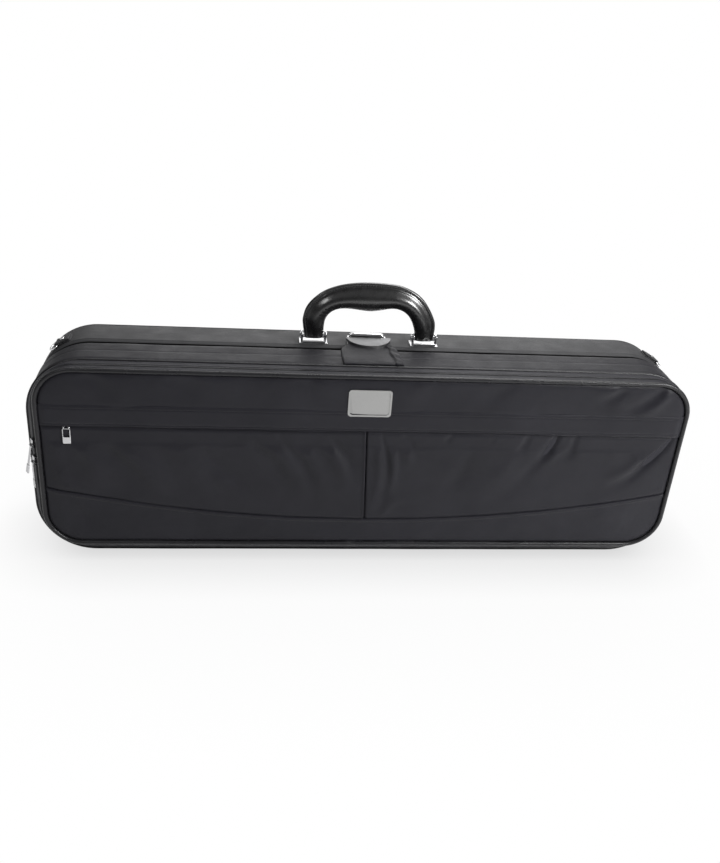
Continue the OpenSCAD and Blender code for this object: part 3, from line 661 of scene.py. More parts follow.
# folds seen on the front: x0, z0, x1, z1, width, depth, side (+ ridge, - valley, s shifted pair)
FOLDS = [
    (227, 183, 203, 138, 5.5, -2.6), (236, 184, 214, 142, 5.0, 1.6), (250, 182, 243, 150, 5.0, -1.6), (262, 182, 256, 158, 6.0, 1.0),
    (374, 182, 336, 142, 5.0, -2.0), (366, 184, 328, 146, 6.0, 1.3), (359, 162, 305, 110, 6.5, -2.0), (346, 160, 298, 118, 7.5, 1.4),
    (191, 182, 181, 158, 5.0, -1.5), (203, 182, 196, 160, 5.0, 1.0), (150, 182, 141, 166, 5.0, -1.0), (97, 183, 86, 168, 5.0, -1.2),
    (200, 136, 150, 84, 9.0, -1.0), (176, 150, 128, 98, 10.0, 0.8), (120, 150, 92, 96, 9.0, -0.8),
    (-95, 170, -53, 92, 9.0, 1.5), (-108, 172, -62, 90, 8.0, -1.2), (-126, 166, -66, 78, 11.0, 1.1), (-140, 165, -100, 100, 10.0, -1.1),
    (20, 178, 25, 100, 4.5, 1.7), (13, 176, 17, 80, 4.0, -1.1), (31, 170, 50, 138, 5.0, 1.3), (38, 178, 58, 150, 5.0, -1.0),
    (19, 68, 47, 96, 6.0, 0.9), (62, 174, 51, 155, 5.0, 1.0), (4, 178, 2, 72, 4.5, 0.9),
    (-180, 118, -142, 70, 10.0, 1.2), (-196, 150, -150, 84, 12.0, -0.9), (-60, 168, -25, 104, 6.5, 1.3), (-48, 172, -18, 120, 6.0, -1.0),
    (-290, 150, -245, 96, 12.0, 1.5), (-306, 150, -266, 96, 11.0, -1.2), (-343, 164, -320, 108, 9.0, 1.1), (-232, 160, -200, 96, 14.0, 0.8),
    (-360, 120, -352, 60, 9.0, 1.0),
]
TOPFOLDS = [
    (348, 246, 306, 216, 7.0, -1.8), (356, 240, 318, 212, 7.0, 1.2), (299, 242, 268, 230, 6.0, -1.1), (288, 246, 262, 236, 8.0, 0.9),
    (-70, 246, -40, 226, 9.0, 0.9), (-92, 247, -66, 230, 8.0, -0.7), (-330, 246, -296, 222, 10.0, -0.8), (-310, 244, -268, 216, 12.0, 0.8),
    (160, 248, 120, 228, 10.0, -0.7), (60, 248, 20, 226, 10.0, 0.6), (-200, 247, -160, 224, 12.0, 0.6), (-236, 247, -205, 226, 10.0, -0.7),
]
YOKEFOLDS = [
    (-300, 70, -200, 44, 14.0, -0.9), (-346, 70, -330, 44, 8.0, -1.2), (180, 56, 220, 40, 12.0, 0.8), (-60, 50, 20, 42, 9.0, -0.7),
    (300, 72, 340, 54, 10.0, 0.8), (90, 54, 60, 36, 9.0, 0.6), (-120, 54, -160, 38, 10.0, 0.7), (240, 66, 280, 44, 10.0, -0.8),
]


def folds(x, z, items):
    h = np.zeros_like(x)
    for x0, z0, x1, z1, w, a in items:
        dx, dz = x1 - x0, z1 - z0
        L = math.hypot(dx, dz)
        t = ((x - x0) * dx + (z - z0) * dz) / L ** 2
        d = ((x - x0) * dz - (z - z0) * dx) / L
        bend = 0.08 * L * np.sin(np.clip(t, 0, 1) * math.pi)
        d = d + bend
        tt = np.clip(t, -0.25, 1.25)
        taper = np.clip((tt + 0.25) / 0.4, 0, 1) * np.clip((1.25 - tt) / 0.75, 0, 1)
        taper = taper * taper * (3 - 2 * taper)
        ww = w * (0.8 + 0.7 * np.clip(t, 0, 1))
        h += a * taper * np.exp(-(d / ww) ** 2)
    return h


def grid_panel(name, xs_, zlo, zhi, nz, hfun, mat, thick=0.9):
    """height-field cloth: columns at xs_, rows between zlo(x) and zhi(x); returns a thin closed piece"""
    xs_ = np.asarray(xs_, float)
    nx = len(xs_)
    t = np.linspace(0, 1, nz)
    t = 0.5 - 0.5 * np.cos(np.pi * t) * (0.35 + 0.65 * np.abs(np.cos(np.pi * t))) if False else t
    X = np.repeat(xs_[None, :], nz, 0)
    Z = zlo(xs_)[None, :] + (zhi(xs_) - zlo(xs_))[None, :] * t[:, None]
    h = hfun(X, Z)
    Y = YCL - h
    V = np.stack([X, Y, Z], 2).reshape(-1, 3)
    F = []
    for j in range(nz - 1):
        for i in range(nx - 1):
            a = j * nx + i
            F.append((a, a + 1, a + nx + 1, a + nx))
    back = V.copy(); back[:, 1] = np.maximum(V[:, 1] + thick, YCL + 1.0 - 0.2)
    nV = len(V)
    V = np.vstack([V, back])
    F += [(f[3] + nV, f[2] + nV, f[1] + nV, f[0] + nV) for f in F]
    edge = [i for i in range(nx)] + [j * nx + nx - 1 for j in range(1, nz)] + [(nz - 1) * nx + i for i in range(nx - 2, -1, -1)] + [j * nx for j in range(nz - 2, 0, -1)]
    for a, b in zip(edge, edge[1:] + edge[:1]):
        F.append((a, a + nV, b + nV, b))
    return add(name, V, F, mat)


def col_half(z):
    """half width of the cloth area at height z (5 mm inside the piping's outer edge)"""
    i = 4.3
    h, z0, z1, r = PHL - i, PZ0 + i, PZ1 - i, PR - i
    dz = np.maximum(np.maximum((z0 + r) - z, z - (z1 - r)), 0)
    return h - r + np.sqrt(np.maximum(r * r - dz * dz, 0))


def zlim(x, low):
    i = 4.3
    h, z0, z1, r = PHL - i, PZ0 + i, PZ1 - i, PR - i
    dx = np.maximum(np.abs(x) - (h - r), 0)
    q = np.sqrt(np.maximum(r * r - dx * dx, 0))
    return (z0 + r - q) if low else (z1 - r + q)


def base_h(X, Z):
    d = sdf_panel(X, Z, 4.3)
    n = wob(np.stack([X, X * 0, Z], 2).reshape(-1, 3), 70.0, 0.8, 1.0).reshape(X.shape)
    n2 = wob(np.stack([X, X * 0, Z], 2).reshape(-1, 3), 24.0, 0.3, 6.0).reshape(X.shape)
    puff = 1.5 * (1 - np.exp(-np.maximum(d, 0) / 7.0)) - 2.6 * np.exp(-np.maximum(d, 0) / 1.5)
    # soft ridge just inside the left-hand border
    xr = -364 + 7 * ((Z - 115) / 70.0) ** 2 * 0.3
    ridge = 1.1 * np.exp(-((X - xr) / 7.0) ** 2) * np.clip((Z - 40) / 20, 0, 1) * np.clip((190 - Z) / 15, 0, 1)
    return puff + (n + n2) * np.clip(d / 12, 0, 1) + ridge


def xcols(x0, x1, step, fine_ends=True):
    n = int((x1 - x0) / step)
    t = np.linspace(0, 1, n)
    if fine_ends:
        t = t - 0.10 * np.sin(2 * np.pi * t) / (2 * np.pi) * 2.5
    return x0 + (x1 - x0) * t


XE = PHL - 4.35
# side pockets
for nm, x0, x1, rep, s in (("pocket_cloth_left_skin", -XE, SEAMX + 0.6, "pocket_cloth_left", -1), ("pocket_cloth_right_skin", SEAMX + 0.0, XE, "pocket_cloth_right", 1)):
    def hf(X, Z, s=s):
        sx = SEAMX + 2.4 - 3.2 * np.clip((Z - 61) / 122, 0, 1)
        ds = (X - sx) * s                       # distance from the centre seam
        top = np.clip((FZ0 + 4 - Z) / 5, 0, 1)
        hh = base_h(X, Z) + (1.45 + 0.75 * np.clip((60 - X) / 160, 0, 1)) * folds(X, Z, FOLDS) * np.clip((Z - seam_z(X)) / 9, 0, 1) * np.clip(sdf_panel(X, Z, 4.3) / 8, 0, 1)
        dz = Z - seam_z(X)
        hh -= 1.2 * np.exp(-(dz / 2.2) ** 2) + 1.5 * np.exp(-(dz / 0.8) ** 2)
        lim = 1.1 + 2.5 * np.clip((FZ0 - 20 - Z) / 12, 0, 1)
        hh = np.where(hh > lim, lim + 0.25 * (hh - lim), hh)
        under = np.clip((Z - FZ0 + 4.5) / 2.5, 0, 1)      # set back at the flap's edge and under it, where the slider runs
        hh = np.minimum(hh, lim * (1 - under) + (YCL - YF - 3.4) * under)
        if s < 0:
            hh += 0.9 * np.exp(-((ds - 1.6) / 2.0) ** 2) - 2.4 * np.exp(-(np.maximum(ds + 0.2, 0) / 0.5) ** 2) * 1.0
        else:
            hh -= 2.0 * np.exp(-(np.maximum(ds, 0) / 1.5) ** 2)
        return hh * 1.0
    xs_ = np.concatenate([xcols(x0, x1, 2.3)])
    # extra columns at the centre seam
    extra = SEAMX + np.array([-3.0, -2.0, -1.4, -0.9, -0.5, -0.1, 0.3]) if s < 0 else SEAMX + np.array([0.3, 0.7, 1.2, 1.8, 2.6, 3.4])
    xs_ = np.unique(np.concatenate([xs_, extra]))
    def zlo(x): return np.maximum(seam_z(x) - 1.0, zlim(x, True))
    def zhi(x): return np.minimum(np.full_like(x, FZ0 + 7.0), zlim(x, False))
    # slant the centre seam a little: shear columns with height
    ob = grid_panel(nm, xs_, zlo, zhi, 62, hf, M_FRONT)
    me = ob.data
    co = np.zeros(len(me.vertices) * 3, np.float32); me.vertices.foreach_get("co", co); co = co.reshape(-1, 3) * 1000
    k = np.clip(1 - np.abs(co[:, 0] - SEAMX) / 60, 0, 1)
    co[:, 0] += k * (2.4 - 3.2 * np.clip((co[:, 2] - 61) / 122, 0, 1)) * 0.8
    me.vertices.foreach_set("co", (co * MM).ravel().astype(np.float32)); me.update()
    finish_piece(ob, "pocket_panel", [rep])

# yoke along the bottom, its upper edge turned under
def hf_yoke(X, Z):
    dz = seam_z(X) - Z
    hh = base_h(X, Z) + 1.4 * folds(X, Z, YOKEFOLDS) * np.clip(sdf_panel(X, Z, 4.3) / 8, 0, 1)
    hh += 0.7 * np.exp(-((dz - 2.2) / 2.4) ** 2)
    hh -= 2.4 * np.exp(-(np.maximum(dz + 0.2, 0) / 0.55) ** 2)
    return hh
xs_ = xcols(-XE, XE, 2.6)
t_rows = None
def zlo_y(x): return zlim(x, True)
def zhi_y(x): return np.maximum(np.minimum(seam_z(x) + 0.1, zlim(x, False)), zlim(x, True) + 0.5)


def grid_panel_rows(name, xs_, zlo, zhi, rows, hfun, mat, thick=0.9):
    xs_ = np.asarray(xs_, float); nx = len(xs_); nz = len(rows)
    X = np.repeat(xs_[None, :], nz, 0)
    Z = zlo(xs_)[None, :] + (zhi(xs_) - zlo(xs_))[None, :] * np.asarray(rows)[:, None]
    h = hfun(X, Z)
    V = np.stack([X, YCL - h, Z], 2).reshape(-1, 3)
    F = []
    for j in range(nz - 1):
        for i in range(nx - 1):
            a = j * nx + i
            F.append((a, a + 1, a + nx + 1, a + nx))
    back = V.copy(); back[:, 1] = np.maximum(V[:, 1] + thick, YCL + 0.8)
    nV = len(V)
    V = np.vstack([V, back])
    F += [(f[3] + nV, f[2] + nV, f[1] + nV, f[0] + nV) for f in F]
    edge = [i for i in range(nx)] + [j * nx + nx - 1 for j in range(1, nz)] + [(nz - 1) * nx + i for i in range(nx - 2, -1, -1)] + [j * nx for j in range(nz - 2, 0, -1)]
    for a, b in zip(edge, edge[1:] + edge[:1]):
        F.append((a, a + nV, b + nV, b))
    return add(name, V, F, mat)


rows = np.concatenate([np.linspace(0, 0.06, 4), np.linspace(0.1, 0.88, 18), np.linspace(0.91, 1.0, 9)])
yk = grid_panel_rows("yoke_cloth", xs_, zlo_y, zhi_y, rows, hf_yoke, M_FRONT)
finish_piece(yk, "pocket_panel", ["panel_yoke"])

# cloth above the zip
def hf_top(X, Z):
    hh = base_h(X, Z) + 1.5 * folds(X, Z, TOPFOLDS) * np.clip(sdf_panel(X, Z, 4.3) / 8, 0, 1)
    hh -= 0.35 * np.exp(-((Z - FZ1) / 2.0) ** 2)
    return hh
rows = np.linspace(0, 1, 30)
tc_ = grid_panel_rows("top_cloth", xs_, lambda x: np.minimum(np.full_like(x, FZ0 + 14.0), zlim(x, False) - 0.5), lambda x: zlim(x, False), rows, hf_top, M_FRONT)
finish_piece(tc_, "pocket_panel", ["panel_top_cloth"])

# flap over the front zip: stitched along its top, its lower edge free
def hf_flap(X, Z):
    d = sdf_panel(X, Z, 4.3)
    n = wob(np.stack([X, X * 0, Z], 2).reshape(-1, 3), 45.0, 0.55, 12.0).reshape(X.shape)
    n2 = wob(np.stack([X, X * 0, Z], 2).reshape(-1, 3), 90.0, 0.8, 31.0).reshape(X.shape)
    hh = 2.5 + (n + n2) * np.clip(d / 14, 0, 1)
    u = (Z - FZ0) / (FZ1 - FZ0)
    hh += 0.5 * np.clip(1 - u, 0, 1) - 1.0 * np.clip((u - 0.80) / 0.2, 0, 1) ** 2
    hh -= 0.3 * np.exp(-((Z - (FZ1 - 3.2)) / 0.9) ** 2)
    hh -= 0.5 * np.exp(-((Z - (FZ0 + 3.6)) / 0.8) ** 2)
    hh -= 1.6 * np.exp(-((Z - FZ0) / 0.7) ** 2)
    hh = np.where(d < 9, hh * np.clip(d / 9, 0.15, 1), hh)
    return hh
rows = np.concatenate([[0, 0.012, 0.03, 0.06, 0.09, 0.12, 0.15, 0.18], np.linspace(0.23, 0.8, 12), [0.84, 0.865, 0.89, 0.92, 0.95, 0.98, 1.0]])
def fz_lo(x): return FZ0 - 0.6 + 0.8 * np.sin(x / 61.0) * 0.5 + 0.45 * np.sin(x / 23.0 + 1) * 0.5
fl = grid_panel_rows("zip_flap_cloth", xcols(-XE + 1.0, XE - 1.0, 2.6), fz_lo, lambda x: np.full_like(x, FZ1 + 0.4), rows, hf_flap, M_FRONT, thick=0.9)
finish_piece(fl, "pocket_panel", ["front_zip_flap"])


def on_front(z, x0, x1, hfun, extra=0.15, n=300):
    x = np.linspace(x0, x1, n)
    zz_ = z(x) if callable(z) else np.full_like(x, z)
    h = hfun(x[None, :], zz_[None, :])[0]
    return np.stack([x, YCL - h - extra, zz_], 1)


st = stitches("front_stitching", [on_front(FZ1 - 3.2, -366, 366, hf_flap, 0.0), on_front(FZ0 + 3.6, -366, 366, hf_flap, 0.0),
                                  on_front(lambda x: seam_z(x) - 4.2, -352, 352, hf_yoke, 0.0)], rad=0.25, length=2.3)
finish_piece(st, "pocket_panel")

# fat piping round the panel, its two ends lapped at the bottom
PO = outline(PHL - 2.7, PZ0 + 2.7, PZ1 - 2.7, PR - 2.7, nb=160, na=24, ns=34)
pp = ring(PO, YF + 2.7)
start = int(np.argmin(np.hypot(pp[:, 0] + 17, pp[:, 2] - PZ0)))
pp = np.roll(pp, -start, 0)
pp = np.vstack([pp, pp[:2]])
w_ = wob(pp, 34.0, 0.5, 7.0) + wob(pp, 90.0, 0.5, 2.0)
low = np.clip((60 - pp[:, 2]) / 30, 0.25, 1)
pp[:, 2] += w_ * low
pp[:, 1] += 0.5 * wob(pp, 50.0, 0.5, 70.0)
pp[0] += (-7, 3.0, 1.2); pp[1] += (-3, 1.2, 0.6); pp[-1] += (7, 2.4, -1.0); pp[-2] += (4, 0.8, -0.6)
pc = tube("panel_cord", pp, 2.75 + 0.12 * wob(pp, 20.0, 1.0, 3.0), M_PIPE, closed=False, seg=14)
finish_piece(pc, "pocket_panel", ["panel_piping"])

# ------------------------------------------------------------------ metal and moulded parts kept from the CAD
bevel("name_plate", 0.45, 3, M_SATIN)
bevel("handle_pins", 0.25, 2, M_CHROME)
bevel("latch_base", 0.5, 3, M_CHROME)
cpm = nodes["clasp_plate"].data.copy(); cpm.materials.clear(); cpm.materials.append(M_CLASP)
cp = bpy.data.objects.new("clasp_shell", cpm); S.collection.objects.link(cp)
CPa, CPb = bx("clasp_plate")
co = np.zeros(len(cpm.vertices) * 3); cpm.vertices.foreach_get("co", co); co = co.reshape(-1, 3)
xm = (CPa[0] + CPb[0]) / 2 * MM
co[:, 0] = xm + (co[:, 0] - xm) * 0.945
cpm.vertices.foreach_set("co", co.ravel()); cpm.update()
cp.modifiers.new("weld", "WELD").merge_threshold = 1e-6
bv = cp.modifiers.new("bevel", "BEVEL"); bv.width = 1.1 * MM; bv.segments = 4; bv.limit_method = "ANGLE"; bv.angle_limit = math.radians(35); bv.use_clamp_overlap = True
cpm.polygons.foreach_set("use_smooth", [True] * len(cpm.polygons))
cp.modifiers.new("wn", "WEIGHTED_NORMAL")
finish_piece(cp, "closure_tab", ["clasp_plate"])
bevel("tab_rivets", 0.4, 3, M_CHROME)
bevel("front_zip_slider", 0.25, 2, M_ZIPM)
for n_ in ("pocket_slider_upper", "pocket_pull_upper", "pocket_slider_lower", "pocket_pull_lower", "main_slider_left", "main_slider_right"):
    bevel(n_, 0.3, 2, M_ZIPM)
setmat("d_ring_left", M_CHROME); setmat("d_ring_right", M_CHROME)
for n_ in ("hinge_leaves_body", "hinge_leaves_lid", "hinge_pins"):
    bevel(n_, 0.15, 2, M_ZIPM)
bevel("spinner_posts", 0.3, 2, M_MOULD)
bevel("bow_spinner_upper", 1.2, 4, M_MOULD)
bevel("bow_spinner_lower", 1.2, 4, M_MOULD)
setmat("panel_board", M_FRONT)
for n_ in ("main_zip_body", "main_zip_lid", "front_zip"):
    setmat(n_, M_TAPE)

# ------------------------------------------------------------------ leather handle
HY = (bx("handle_pins")[0][1] + bx("handle_pins")[1][1]) / 2
HZ = (bx("handle_pins")[0][2] + bx("handle_pins")[1][2]) / 2
OUT = [(-78.6, 260.8), (-80.2, 262.4), (-80.8, 266.5), (-81.2, 270.5), (-81.8, 273.5), (-82.4, 277.5), (-83.0, 286), (-79.6, 299.5), (-71.6, 311), (-58, 322), (-40, 329.3), (-20, 333), (0, 334), (20, 333.2), (36, 330.8),
       (52, 324), (64, 314.5), (73.8, 301), (80.6, 287), (81.8, 277.5), (81.6, 273.5), (81.2, 270.5), (80.8, 266.5), (80.2, 262.4), (78.6, 260.8)]
INN = [(-59.2, 260.8), (-57.6, 262.4), (-57.0, 266.5), (-56.8, 270.5), (-56.7, 273.5), (-56.5, 278.0), (-55.0, 286.5), (-51, 293), (-44.7, 297.8), (-36, 300.3), (-24, 300.2), (-11, 298.6), (0, 298.0), (11, 299.4), (22, 301.6),
       (31, 301.8), (39.5, 299), (46.5, 293.6), (51.4, 286.5), (54.6, 279.0), (56.2, 274.0), (56.8, 270.5), (57.0, 266.5), (57.6, 262.4), (59.2, 260.8)]
DEP = [2.2, 5.0, 6.2, 6.6, 7.2, 7.8, 8.2, 8.5, 8.8, 9.1, 9.4, 9.6, 9.7, 9.6, 9.4, 9.1, 8.8, 8.5, 8.2, 7.8, 7.2, 6.6, 6.2, 5.0, 2.2]


def catmull(pts, n):
    pts = np.asarray(pts, float)
    if pts.ndim == 1:
        pts = pts[:, None]
    e = np.vstack([2 * pts[0] - pts[1], pts, 2 * pts[-1] - pts[-2]])
    u = np.linspace(0, len(pts) - 1, n)
    k = np.minimum(u.astype(int), len(pts) - 2); f = (u - k)[:, None]
    p0, p1, p2, p3 = e[k], e[k + 1], e[k + 2], e[k + 3]
    return 0.5 * (2 * p1 + (p2 - p0) * f + (2 * p0 - 5 * p1 + 4 * p2 - p3) * f ** 2 + (3 * p1 - p0 - 3 * p2 + p3) * f ** 3)


NS = 240
O_, I_, D_ = catmull(OUT, NS), catmull(INN, NS), catmull(DEP, NS)[:, 0]
us = np.concatenate([np.linspace(0, 0.30, 9) ** 1.0, np.linspace(0.36, 0.80, 9)])
grip_rings, seam_f, seam_b = [], [], []
for j in range(NS):
    o, i_, D = O_[j], I_[j], D_[j]
    L = np.linalg.norm(o - i_); e = (o - i_) / L
    welt = 4.6 if L > 20 else 2.0
    uw = 1 - welt / L
    tw = min(2.7, D * 0.6)
    prof = []
    for u in list(np.linspace(0, 1, 13)):
        a_ = u * math.pi / 2
        prof.append((0.40 * (1 - math.cos(a_)), math.sin(a_)))
    for v in np.linspace(0.1, 1, 9):
        k = tw / D
        prof.append((0.40 + (uw - 0.40) * v, k + (1 - k) * (0.5 + 0.5 * math.cos(math.pi * v ** 1.25))))
    prof.append((uw + 0.5 / L, tw / D * 0.66))
    prof.append((uw + 1.2 / L, tw / D * 1.0))
    prof.append((uw + (welt - 1.6) / L, tw / D * 0.98))
    prof.append((uw + (welt - 0.6) / L, tw / D * 0.72))
    prof.append((1.0, tw / D * 0.22))
    s_along = j / (NS - 1)
    sh = math.exp(-((s_along - 0.31) / 0.055) ** 2) + math.exp(-((s_along - 0.69) / 0.055) ** 2)
    pts = []
    for side in (-1, 1):
        seq = prof if side < 0 else prof[::-1]
        for (u, f) in seq:
            p = i_ + e * (u * L)
            wr = 0.17 * sh * math.sin(s_along * 2 * math.pi * 46 + 3 * noise.noise(Vector((s_along * 30, side * 3.0, 0)))) * math.exp(-((u - 0.10) / 0.20) ** 2)
            gn = 0.14 * noise.noise(Vector((p[0] / 16, side * 4.0 + u * 2, p[1] / 16)))
            d_ = max(0.15, (D * f + (wr + gn) * min(1, f * 1.5)))
            pts.append((p[0], HY + side * d_, p[1]))
    grip_rings.append(np.array(pts))
    kf = 13 + 9
    seam_f.append(grip_rings[-1][kf + 1] + (0, -0.12, 0)); seam_b.append(grip_rings[-1][-(kf + 2)] + (0, 0.12, 0))
V, F = loft(grip_rings, cap_first=True, cap_last=True)
grip = add("handle_leather", V, F, M_LEATHER)
bm = bmesh.new(); bm.from_mesh(grip.data); bmesh.ops.recalc_face_normals(bm, faces=bm.faces); bm.to_mesh(grip.data); bm.free()
finish_piece(grip, "handle", ["handle_grip"])
st = stitches("handle_stitching", [np.array(seam_f[30:-30]) + (0, -0.25, 0)], M_THREAD, pitch=3.2, length=2.3, rad=0.42, normal=(0, -1, 0))
finish_piece(st, "handle")
st = stitches("handle_stitching_rear", [np.array(seam_b[30:-30]) + (0, 0.25, 0)], M_THREAD, pitch=3.2, length=2.3, rad=0.42, normal=(0, 1, 0))
finish_piece(st, "handle")

# ------------------------------------------------------------------ chrome brackets: base plate, two ears, rivet heads
def prism(V, F, poly, x0, x1):
    """extrude a closed (y, z) polygon along x"""
    i0, n_ = len(V), len(poly)
    V += [(x0, p[0], p[1]) for p in poly] + [(x1, p[0], p[1]) for p in poly]
    F.append(tuple(i0 + k for k in range(n_))); F.append(tuple(i0 + n_ + k for k in range(n_))[::-1])
    for k in range(n_):
        k2 = (k + 1) % n_
        F.append((i0 + k, i0 + n_ + k, i0 + n_ + k2, i0 + k2))


def dome(V, F, c, ax, r_, h_, seg=18):
    """low round head on a face, ax is its axis"""
    ax = np.asarray(ax, float); u = np.cross(ax, (0.3, 0.5, 0.81)); u /= np.linalg.norm(u); v = np.cross(ax, u)
    i0 = len(V)
    for k_, (rr_, hh_) in enumerate(((1.0, -0.4), (1.0, 0.35), (0.9, 0.7), (0.6, 0.95))):
        for q in range(seg):
            a = 2 * math.pi * q / seg
            V.append(tuple(np.asarray(c) + (u * math.cos(a) + v * math.sin(a)) * r_ * rr_ + ax * h_ * hh_))
    for k_ in range(3):
        for q in range(seg):
            q2 = (q + 1) % seg
            F.append((i0 + k_ * seg + q, i0 + k_ * seg + q2, i0 + (k_ + 1) * seg + q2, i0 + (k_ + 1) * seg + q))
    F.append(tuple(i0 + q for q in range(seg))[::-1]); F.append(tuple(i0 + 3 * seg + q for q in range(seg)))


V, F = [], []
for sx_ in (-69.0, 69.0):
    prism(V, F, [(HY - 9.4, H), (HY + 9.0, H), (HY + 9.0, H + 1.6), (HY - 9.4, H + 1.6)], sx_ - 17.2, sx_ + 17.2)
    for sg in (-1, 1):
        ear = [(HY - 5.6, H + 1.2), (HY + 5.6, H + 1.2)] + [(HY + 5.6 * math.cos(a), HZ + 5.6 * math.sin(a)) for a in np.linspace(0, math.pi, 15)]
        xa, xb = sorted((sx_ + sg * 12.7, sx_ + sg * 15.6))
        prism(V, F, ear, xa, xb)
    prism(V, F, [(HY - 9.2 + 1.5 * math.cos(a), H + 3.2 + 1.7 * math.sin(a)) for a in np.linspace(0, 2 * math.pi, 13)[:-1]], sx_ - 13.6, sx_ + 13.6)
br = add("bracket_frames", V, F, M_CHROME)
bm = bmesh.new(); bm.from_mesh(br.data); bmesh.ops.recalc_face_normals(bm, faces=bm.faces); bm.to_mesh(br.data); bm.free()
bv = br.modifiers.new("bevel", "BEVEL"); bv.width = 0.4 * MM; bv.segments = 3; bv.limit_method = "ANGLE"; bv.angle_limit = math.radians(35)
br.modifiers.new("wn", "WEIGHTED_NORMAL")
finish_piece(br, "case_body", ["handle_brackets"])
V, F = [], []
for sx_ in (-69.0, 69.0):
    for sg in (-1, 1):
        dome(V, F, (sx_ + sg * 15.6, HY, HZ), (sg, 0, 0), 2.9, 1.3)
        dome(V, F, (sx_ + sg * 15.0, HY + 7.2, H + 1.6), (0, 0, 1), 1.5, 0.9)
rv = add("bracket_rivets", V, F, M_CHROME)
bm = bmesh.new(); bm.from_mesh(rv.data); bmesh.ops.recalc_face_normals(bm, faces=bm.faces); bm.to_mesh(rv.data); bm.free()
finish_piece(rv, "case_body", ["handle_rivets"])

# ------------------------------------------------------------------ closure flap: padded cloth tongue up to the clasp plate
CFa, CFb = bx("closure_flap")
cz = CFa[2]
nxf, nyf = 74, 46
V1 = np.zeros((nyf, nxf, 3))
for j in range(nyf):
    t = j / (nyf - 1)
    y = -40.5 + t * (22.5 + 40.5)
    # edges: straight from the base, drawing in towards the plate
    q = max(0.0, (y - 2.0) / 20.5)
    xl = -37.2 + 1.4 * (y + 33) / 35 * 0 + 9.5 * q ** 1.3
    xr = 35.2 - 4.5 * max(0, (y + 33) / 60) - 5.5 * q ** 1.5
    for i in range(nxf):
        s_ = i / (nxf - 1)
        x = xl + (xr - xl) * s_
        e_ = min(s_, 1 - s_) * (xr - xl)
        z = cz + 2.9 - 2.4 * math.exp(-e_ / 0.8)
        z -= 0.6 * math.exp(-((y + 40.5) / 1.6) ** 2)
        z += 0.5 * noise.noise(Vector((x / 18, y / 22, 3.0))) * min(1, e_ / 6)
        z -= 0.35 * math.exp(-((e_ - 3.0) / 0.7) ** 2)
        # double fold down the right-hand side
        fx = (x - (xr - 10.5 + 1.0 * math.sin(y / 6.0) + 0.8 * noise.noise(Vector((0, y / 5, 9)))))
        z += 1.5 / (1 + math.exp(-fx / 0.4)) * (1 - math.exp(-e_ / 0.8)) - 1.1 * math.exp(-((fx + 0.5) / 0.7) ** 2)
        z += 0.45 * math.sin(y / 2.6 + x * 0.25) * math.exp(-((x - xr + 5) / 4.5) ** 2) * min(1, e_ / 1.5)
        if x > -27 and x < 27 and y > 6:      # dips under the plate
            z -= 0.8 * min(1, (y - 6) / 3) * min(1, (27 - abs(x)) / 3)
        V1[j, i] = (x, y, z)
top = V1.reshape(-1, 3)
bot = top.copy(); bot[:, 2] = np.minimum(cz + 0.15, top[:, 2] - 0.3)
F = []
for j in range(nyf - 1):
    for i in range(nxf - 1):
        a = j * nxf + i
        F.append((a, a + 1, a + nxf + 1, a + nxf))
nV = len(top)
F += [(f[3] + nV, f[2] + nV, f[1] + nV, f[0] + nV) for f in F]
edge = [i for i in range(nxf)] + [j * nxf + nxf - 1 for j in range(1, nyf)] + [(nyf - 1) * nxf + i for i in range(nxf - 2, -1, -1)] + [j * nxf for j in range(nyf - 2, 0, -1)]
for a, b_ in zip(edge, edge[1:] + edge[:1]):
    F.append((a, a + nV, b_ + nV, b_))
cf = add("closure_flap_cloth", np.vstack([top, bot]), F, M_LID)
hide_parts("closure_flap")
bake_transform(cf)

# ------------------------------------------------------------------ chrome bar of the latch
LBa, LBb = bx("latch_button")
rr = []
for t in np.linspace(-1, 1, 33):
    xx = (LBa[0] + LBb[0]) / 2 + (LBb[0] - LBa[0]) / 2 * t
    k = (1 - abs(t) ** 7) ** 0.5 if abs(t) < 1 else 0.05
    k = max(k, 0.22)
    sag = 0.5 * t * t
    sec = []
    for a in np.linspace(0, 2 * math.pi, 25)[:-1]:
        cy_, cz_ = math.cos(a), math.sin(a)
        ey = 3.3 * math.copysign(abs(cy_) ** 0.8, cy_) * (0.55 + 0.45 * k)
        ez = 3.5 * math.copysign(abs(cz_) ** 0.8, cz_) * k
        groove_ = 0.45 * math.exp(-((a - math.radians(205)) / 0.16) ** 2)
        sec.append((xx, 40.3 + ey + groove_ * 0.8 + 0.6 * t * t, max(H + 7.15, H + 7.9 - 0.4 * sag + 0.78 * ez * (1 - 0.1 * groove_))))
    rr.append(np.array(sec))
V, F = loft(rr, cap_first=True, cap_last=True)
lb = add("latch_bar", V, F, M_CHROME)
bm = bmesh.new(); bm.from_mesh(lb.data); bmesh.ops.recalc_face_normals(bm, faces=bm.faces); bm.to_mesh(lb.data); bm.free()
finish_piece(lb, "latch_button", ["latch_button"])
V, F = [], []
prism(V, F, [(40.9, H + 4.1), (44.2, H + 4.1), (44.2, H + 7.6), (40.9, H + 7.6)], -22.5, 18.5)
ls = add("latch_stem", V, F, M_SATIN, False)
bm = bmesh.new(); bm.from_mesh(ls.data); bmesh.ops.recalc_face_normals(bm, faces=bm.faces); bm.to_mesh(ls.data); bm.free()
finish_piece(ls, "latch_button")

